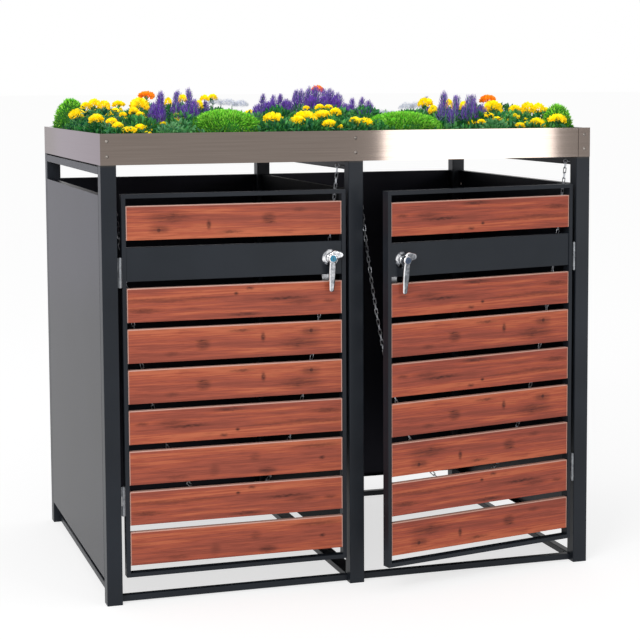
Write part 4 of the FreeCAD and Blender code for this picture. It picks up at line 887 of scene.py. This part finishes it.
def spikePlaces(clumps):
    # spikes spread evenly over each clump by the golden angle, a little lower towards its edge
    spikes = []
    for x, y, top, spread, length, count in fromRim(clumps):
        count = int(count)
        k = np.arange(count) + 0.5
        r, a = spread * np.sqrt(k / count), k * goldenAngle
        spikes.append(np.column_stack([x + r * np.cos(a), y + r * np.sin(a),
                                       top - 10 * k / count - random.uniform(0, 6, count),
                                       length * random.uniform(0.85, 1.1, count)]))
    return np.concatenate(spikes) / 1000


def makeSalvias(material):
    # spikes: florets wound up a stem by the golden angle, at radius ringMm (1 - 0.6 t), smaller towards the
    # tip, and leaves round their feet
    s = salviaSettings
    spikes = spikePlaces(s["clumps"])
    tops = spikes[:, :3]
    feet = np.column_stack([spikes[:, 0] + random.normal(0, 0.004, len(spikes)), spikes[:, 1] + 0.006,
                            np.full(len(spikes), bedTop - 0.02)])
    groups = [stalk(tops, feet, 0.001, s["leaf"])]
    t = np.linspace(0, 1, s["florets"])[None] * np.ones((len(spikes), 1))
    azimuth = (np.arange(s["florets"]) * goldenAngle)[None] + random.uniform(*anyStart, (len(spikes), 1))
    radius = s["ringMm"] / 1000 * (1 - 0.6 * t)
    climb = tops[:, 2:] - spikes[:, 3:] * (1 - t)
    lean = (feet - tops)[:, None, :2] * ((tops[:, 2:] - climb) / (tops[:, 2:] - feet[:, 2:]))[..., None]
    ring = np.stack([radius * np.cos(azimuth), radius * np.sin(azimuth)], -1)
    places = np.concatenate([tops[:, None, :2] + lean + ring, climb[..., None]], -1).reshape(-1, 3)
    tilt = 1.2 - 0.75 * t + random.normal(0, 0.18, t.shape)
    tints = tintMix(t.size, s["violet"], 0.2)
    low, high = s["floretMm"]
    groups.append(scatter(blade(0.46, -0.25, 1, 0.7), places,
                          turns(azimuth.ravel(), tilt.ravel(), np.zeros(t.size)),
                          (low + (high - low) * t).ravel() / 1000, tints))
    for x, y, top, radius in fromRim(s["sage"]) / 1000:
        places, out = domeSpots(x, y, top - 0.012, radius, int(radius * s["sagePerMetre"]))
        groups.append(scatter(blade(0.24, 0.25, 3), places, turnsAlong(out, 0.4),
                              random.uniform(*s["sageLeafMm"], len(places)) / 1000,
                              tintMix(len(places), s["leaf"])))
        groups.append(rootedLeaves(blade(0.14, 0.1, 3), places, out, 0.3, rootDepth,
                                   (places[:, 2] - bedTop + 0.014).clip(0.01), s["leaf"][:2]))
    piece = buildMesh("salviaSpikes", *joined(groups), material, "store")
    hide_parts("salvia_plants")


alyssumSettings = {
    "perMetre": 6400, "leavesPerMetre": 2600, "petalMm": (4.2, 5.4),
    "white": ["#ccd2e6", "#e2e5f1", "#b4bcd9"], "leaf": ["#2f7044", "#4c9458"],
    "clumps": [
        (-300, 300, 88, 27), (-260, 300, 84, 26), (-220, 320, 80, 25), (260, 300, 70, 26),
        (295, 310, 72, 25), (180, 300, 50, 24), (250, 420, 46, 26), (-450, 480, 62, 26),
        (-110, 420, 56, 24), (480, 480, 56, 26), (-560, 600, 48, 24), (120, 560, 46, 24),
        (-280, 680, 40, 26), (340, 640, 36, 24), (610, 400, 52, 22), (-20, 870, 44, 24),
        (-450, 860, 50, 24), (380, 860, 38, 24), (600, 700, 48, 24)]}


def makeAlyssum(material):
    # flat round heads of small four-petalled white flowers over narrow leaves:
    # place = head + r (out x, out y, 0.68 out z)
    s = alyssumSettings
    groups = []
    petal = blade(0.42, 0.1, 1, 0.85)
    for x, y, top, radius in fromRim(s["clumps"]) / 1000:
        count = int(radius * s["perMetre"])
        places, out = domeSpots(x, y, top, radius, count)
        places = np.array([x, y, top - radius * 0.7]) + out * radius * (1, 1, 0.68)
        places -= out * random.uniform(0, 0.006, (count, 1))
        facing = turnsAlong(out, 0.3)
        # painted shade: flowers low on a head are darker and those on its top lighter
        tints = tintMix(count, s["white"], 0.05) * (0.8 + 0.25 * out[:, 2:])
        for quarter in range(4):
            splay = turns(np.full(count, quarter * math.pi / 2), np.full(count, 1.3), np.zeros(count))
            sizes = random.uniform(*s["petalMm"], count) / 1000
            groups.append(scatter(petal, places, facing @ splay, sizes, tints))
        places, out = domeSpots(x, y, top - 0.01, radius, int(radius * s["leavesPerMetre"]))
        height = (places[:, 2] - bedTop - radius * 0.3 + 0.01).clip(0.01)
        groups.append(rootedLeaves(blade(0.16, 0.2, 3), places, out, 0.35, rootDepth, height, s["leaf"]))
    piece = buildMesh("alyssumHeads", *joined(groups), material, "store")
    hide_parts("alyssum_plants")


makeGroundCover(plantMaterial("groundCoverLeaf", 0.5, 40, 0.14))
makeCushions(plantMaterial("cushionLeaf", 0.6, 30, 0.18))
makeMarigolds(plantMaterial("marigoldPetal", 0.55, 12, 0.27))
makeSalvias(plantMaterial("salviaFloret", 0.55, 10, 0.26))
makeAlyssum(plantMaterial("alyssumPetal", 0.5, 8, 0.25))
print("planting made")


# the lock covers

coverDisc = {
    "radiusMm": 8.6, "riseMm": 1.3, "slotMm": (1.2, 6.6), "gritMm": 10 / 7, "slot": "#0b0f10",
    "left": "#1f7fa0", "right": "#2c3f5a"}


def lockCoverMaterial(name, code):
    # moulded nylon cap over a lock: coloured and half glossy, with the key slot across it painted dark,
    # painted shade for its hollow
    material, tree = newMaterial(name)
    spot = addNode(tree, "Attribute", {"attribute_name": "spot"})
    axes = addNode(tree, "SeparateXYZ", links={"Vector": spot.outputs["Vector"]})
    masks = []
    for axis, size in zip("XY", coverDisc["slotMm"]):
        away = addNode(tree, "Math", "ABSOLUTE", {0: axes.outputs[axis]})
        masks.append(addNode(tree, "Math", "LESS_THAN", {0: away, 1: size / 2000}))
    slot = addNode(tree, "Math", "MULTIPLY", {0: masks[0], 1: masks[1]})
    grit = addNode(tree, "TexNoise", links={
        "Vector": addNode(tree, "TexCoord").outputs["Object"], "Scale": 1000 / coverDisc["gritMm"],
        "Detail": 2.0})
    shade = addNode(tree, "MapRange", links={"Value": grit, "To Min": 0.85, "To Max": 1.15})
    plain = addNode(tree, "VectorMath", "SCALE", {0: hexColour(code)[:3], "Scale": shade})
    colour = addNode(tree, "Mix", {"data_type": "RGBA"},
                     {0: slot, 6: plain, 7: hexColour(coverDisc["slot"])})
    finishMaterial(tree, {"Base Color": colour.outputs[2], "Roughness": 0.35})
    return material


def makeLockCover(side):
    # a turned cap on the lock's axis: height = 0.1 mm + rise (1 - (r / R)^6), closed at its pole
    s = coverDisc
    joint = joints[f"lock_{side}_turn"]
    axis = Vector(joint["axis"])
    outward = axis if axis.y < 0 else -axis
    depth = joints["lock_left_turn"]["pos_m"][1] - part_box("lock_cylinder_left")[0].y
    middle = np.array(Vector(joint["pos_m"]) + outward * depth)
    across = np.array(Vector((0, 0, 1)).cross(outward))
    radius = s["radiusMm"] / 1000
    rings, around = 9, 40
    r, a = np.meshgrid(np.linspace(0, 1, rings), np.arange(around) * 2 * math.pi / around, indexing="ij")
    x, z = radius * r * np.cos(a), radius * r * np.sin(a)
    rise = s["riseMm"] / 1000 * (1 - r ** 6) + 0.0001
    points = (middle + x[..., None] * across + z[..., None] * np.array((0, 0, 1.0))
              + rise[..., None] * np.array(outward)).reshape(-1, 3)
    material = lockCoverMaterial(f"lockCoverNylon{side.title()}", s[side])
    piece = buildMesh(f"lockCover{side.title()}", points, polarFaces(rings, around), None, material,
                      f"lock_{side}")
    spot = piece.data.attributes.new("spot", "FLOAT_VECTOR", "POINT")
    spot.data.foreach_set("vector", np.column_stack([x.ravel(), z.ravel(), np.zeros(x.size)]).ravel())


for side in ("left", "right"):
    makeLockCover(side)
print("lock covers made")

bpy.context.scene.view_settings.view_transform = "Standard"
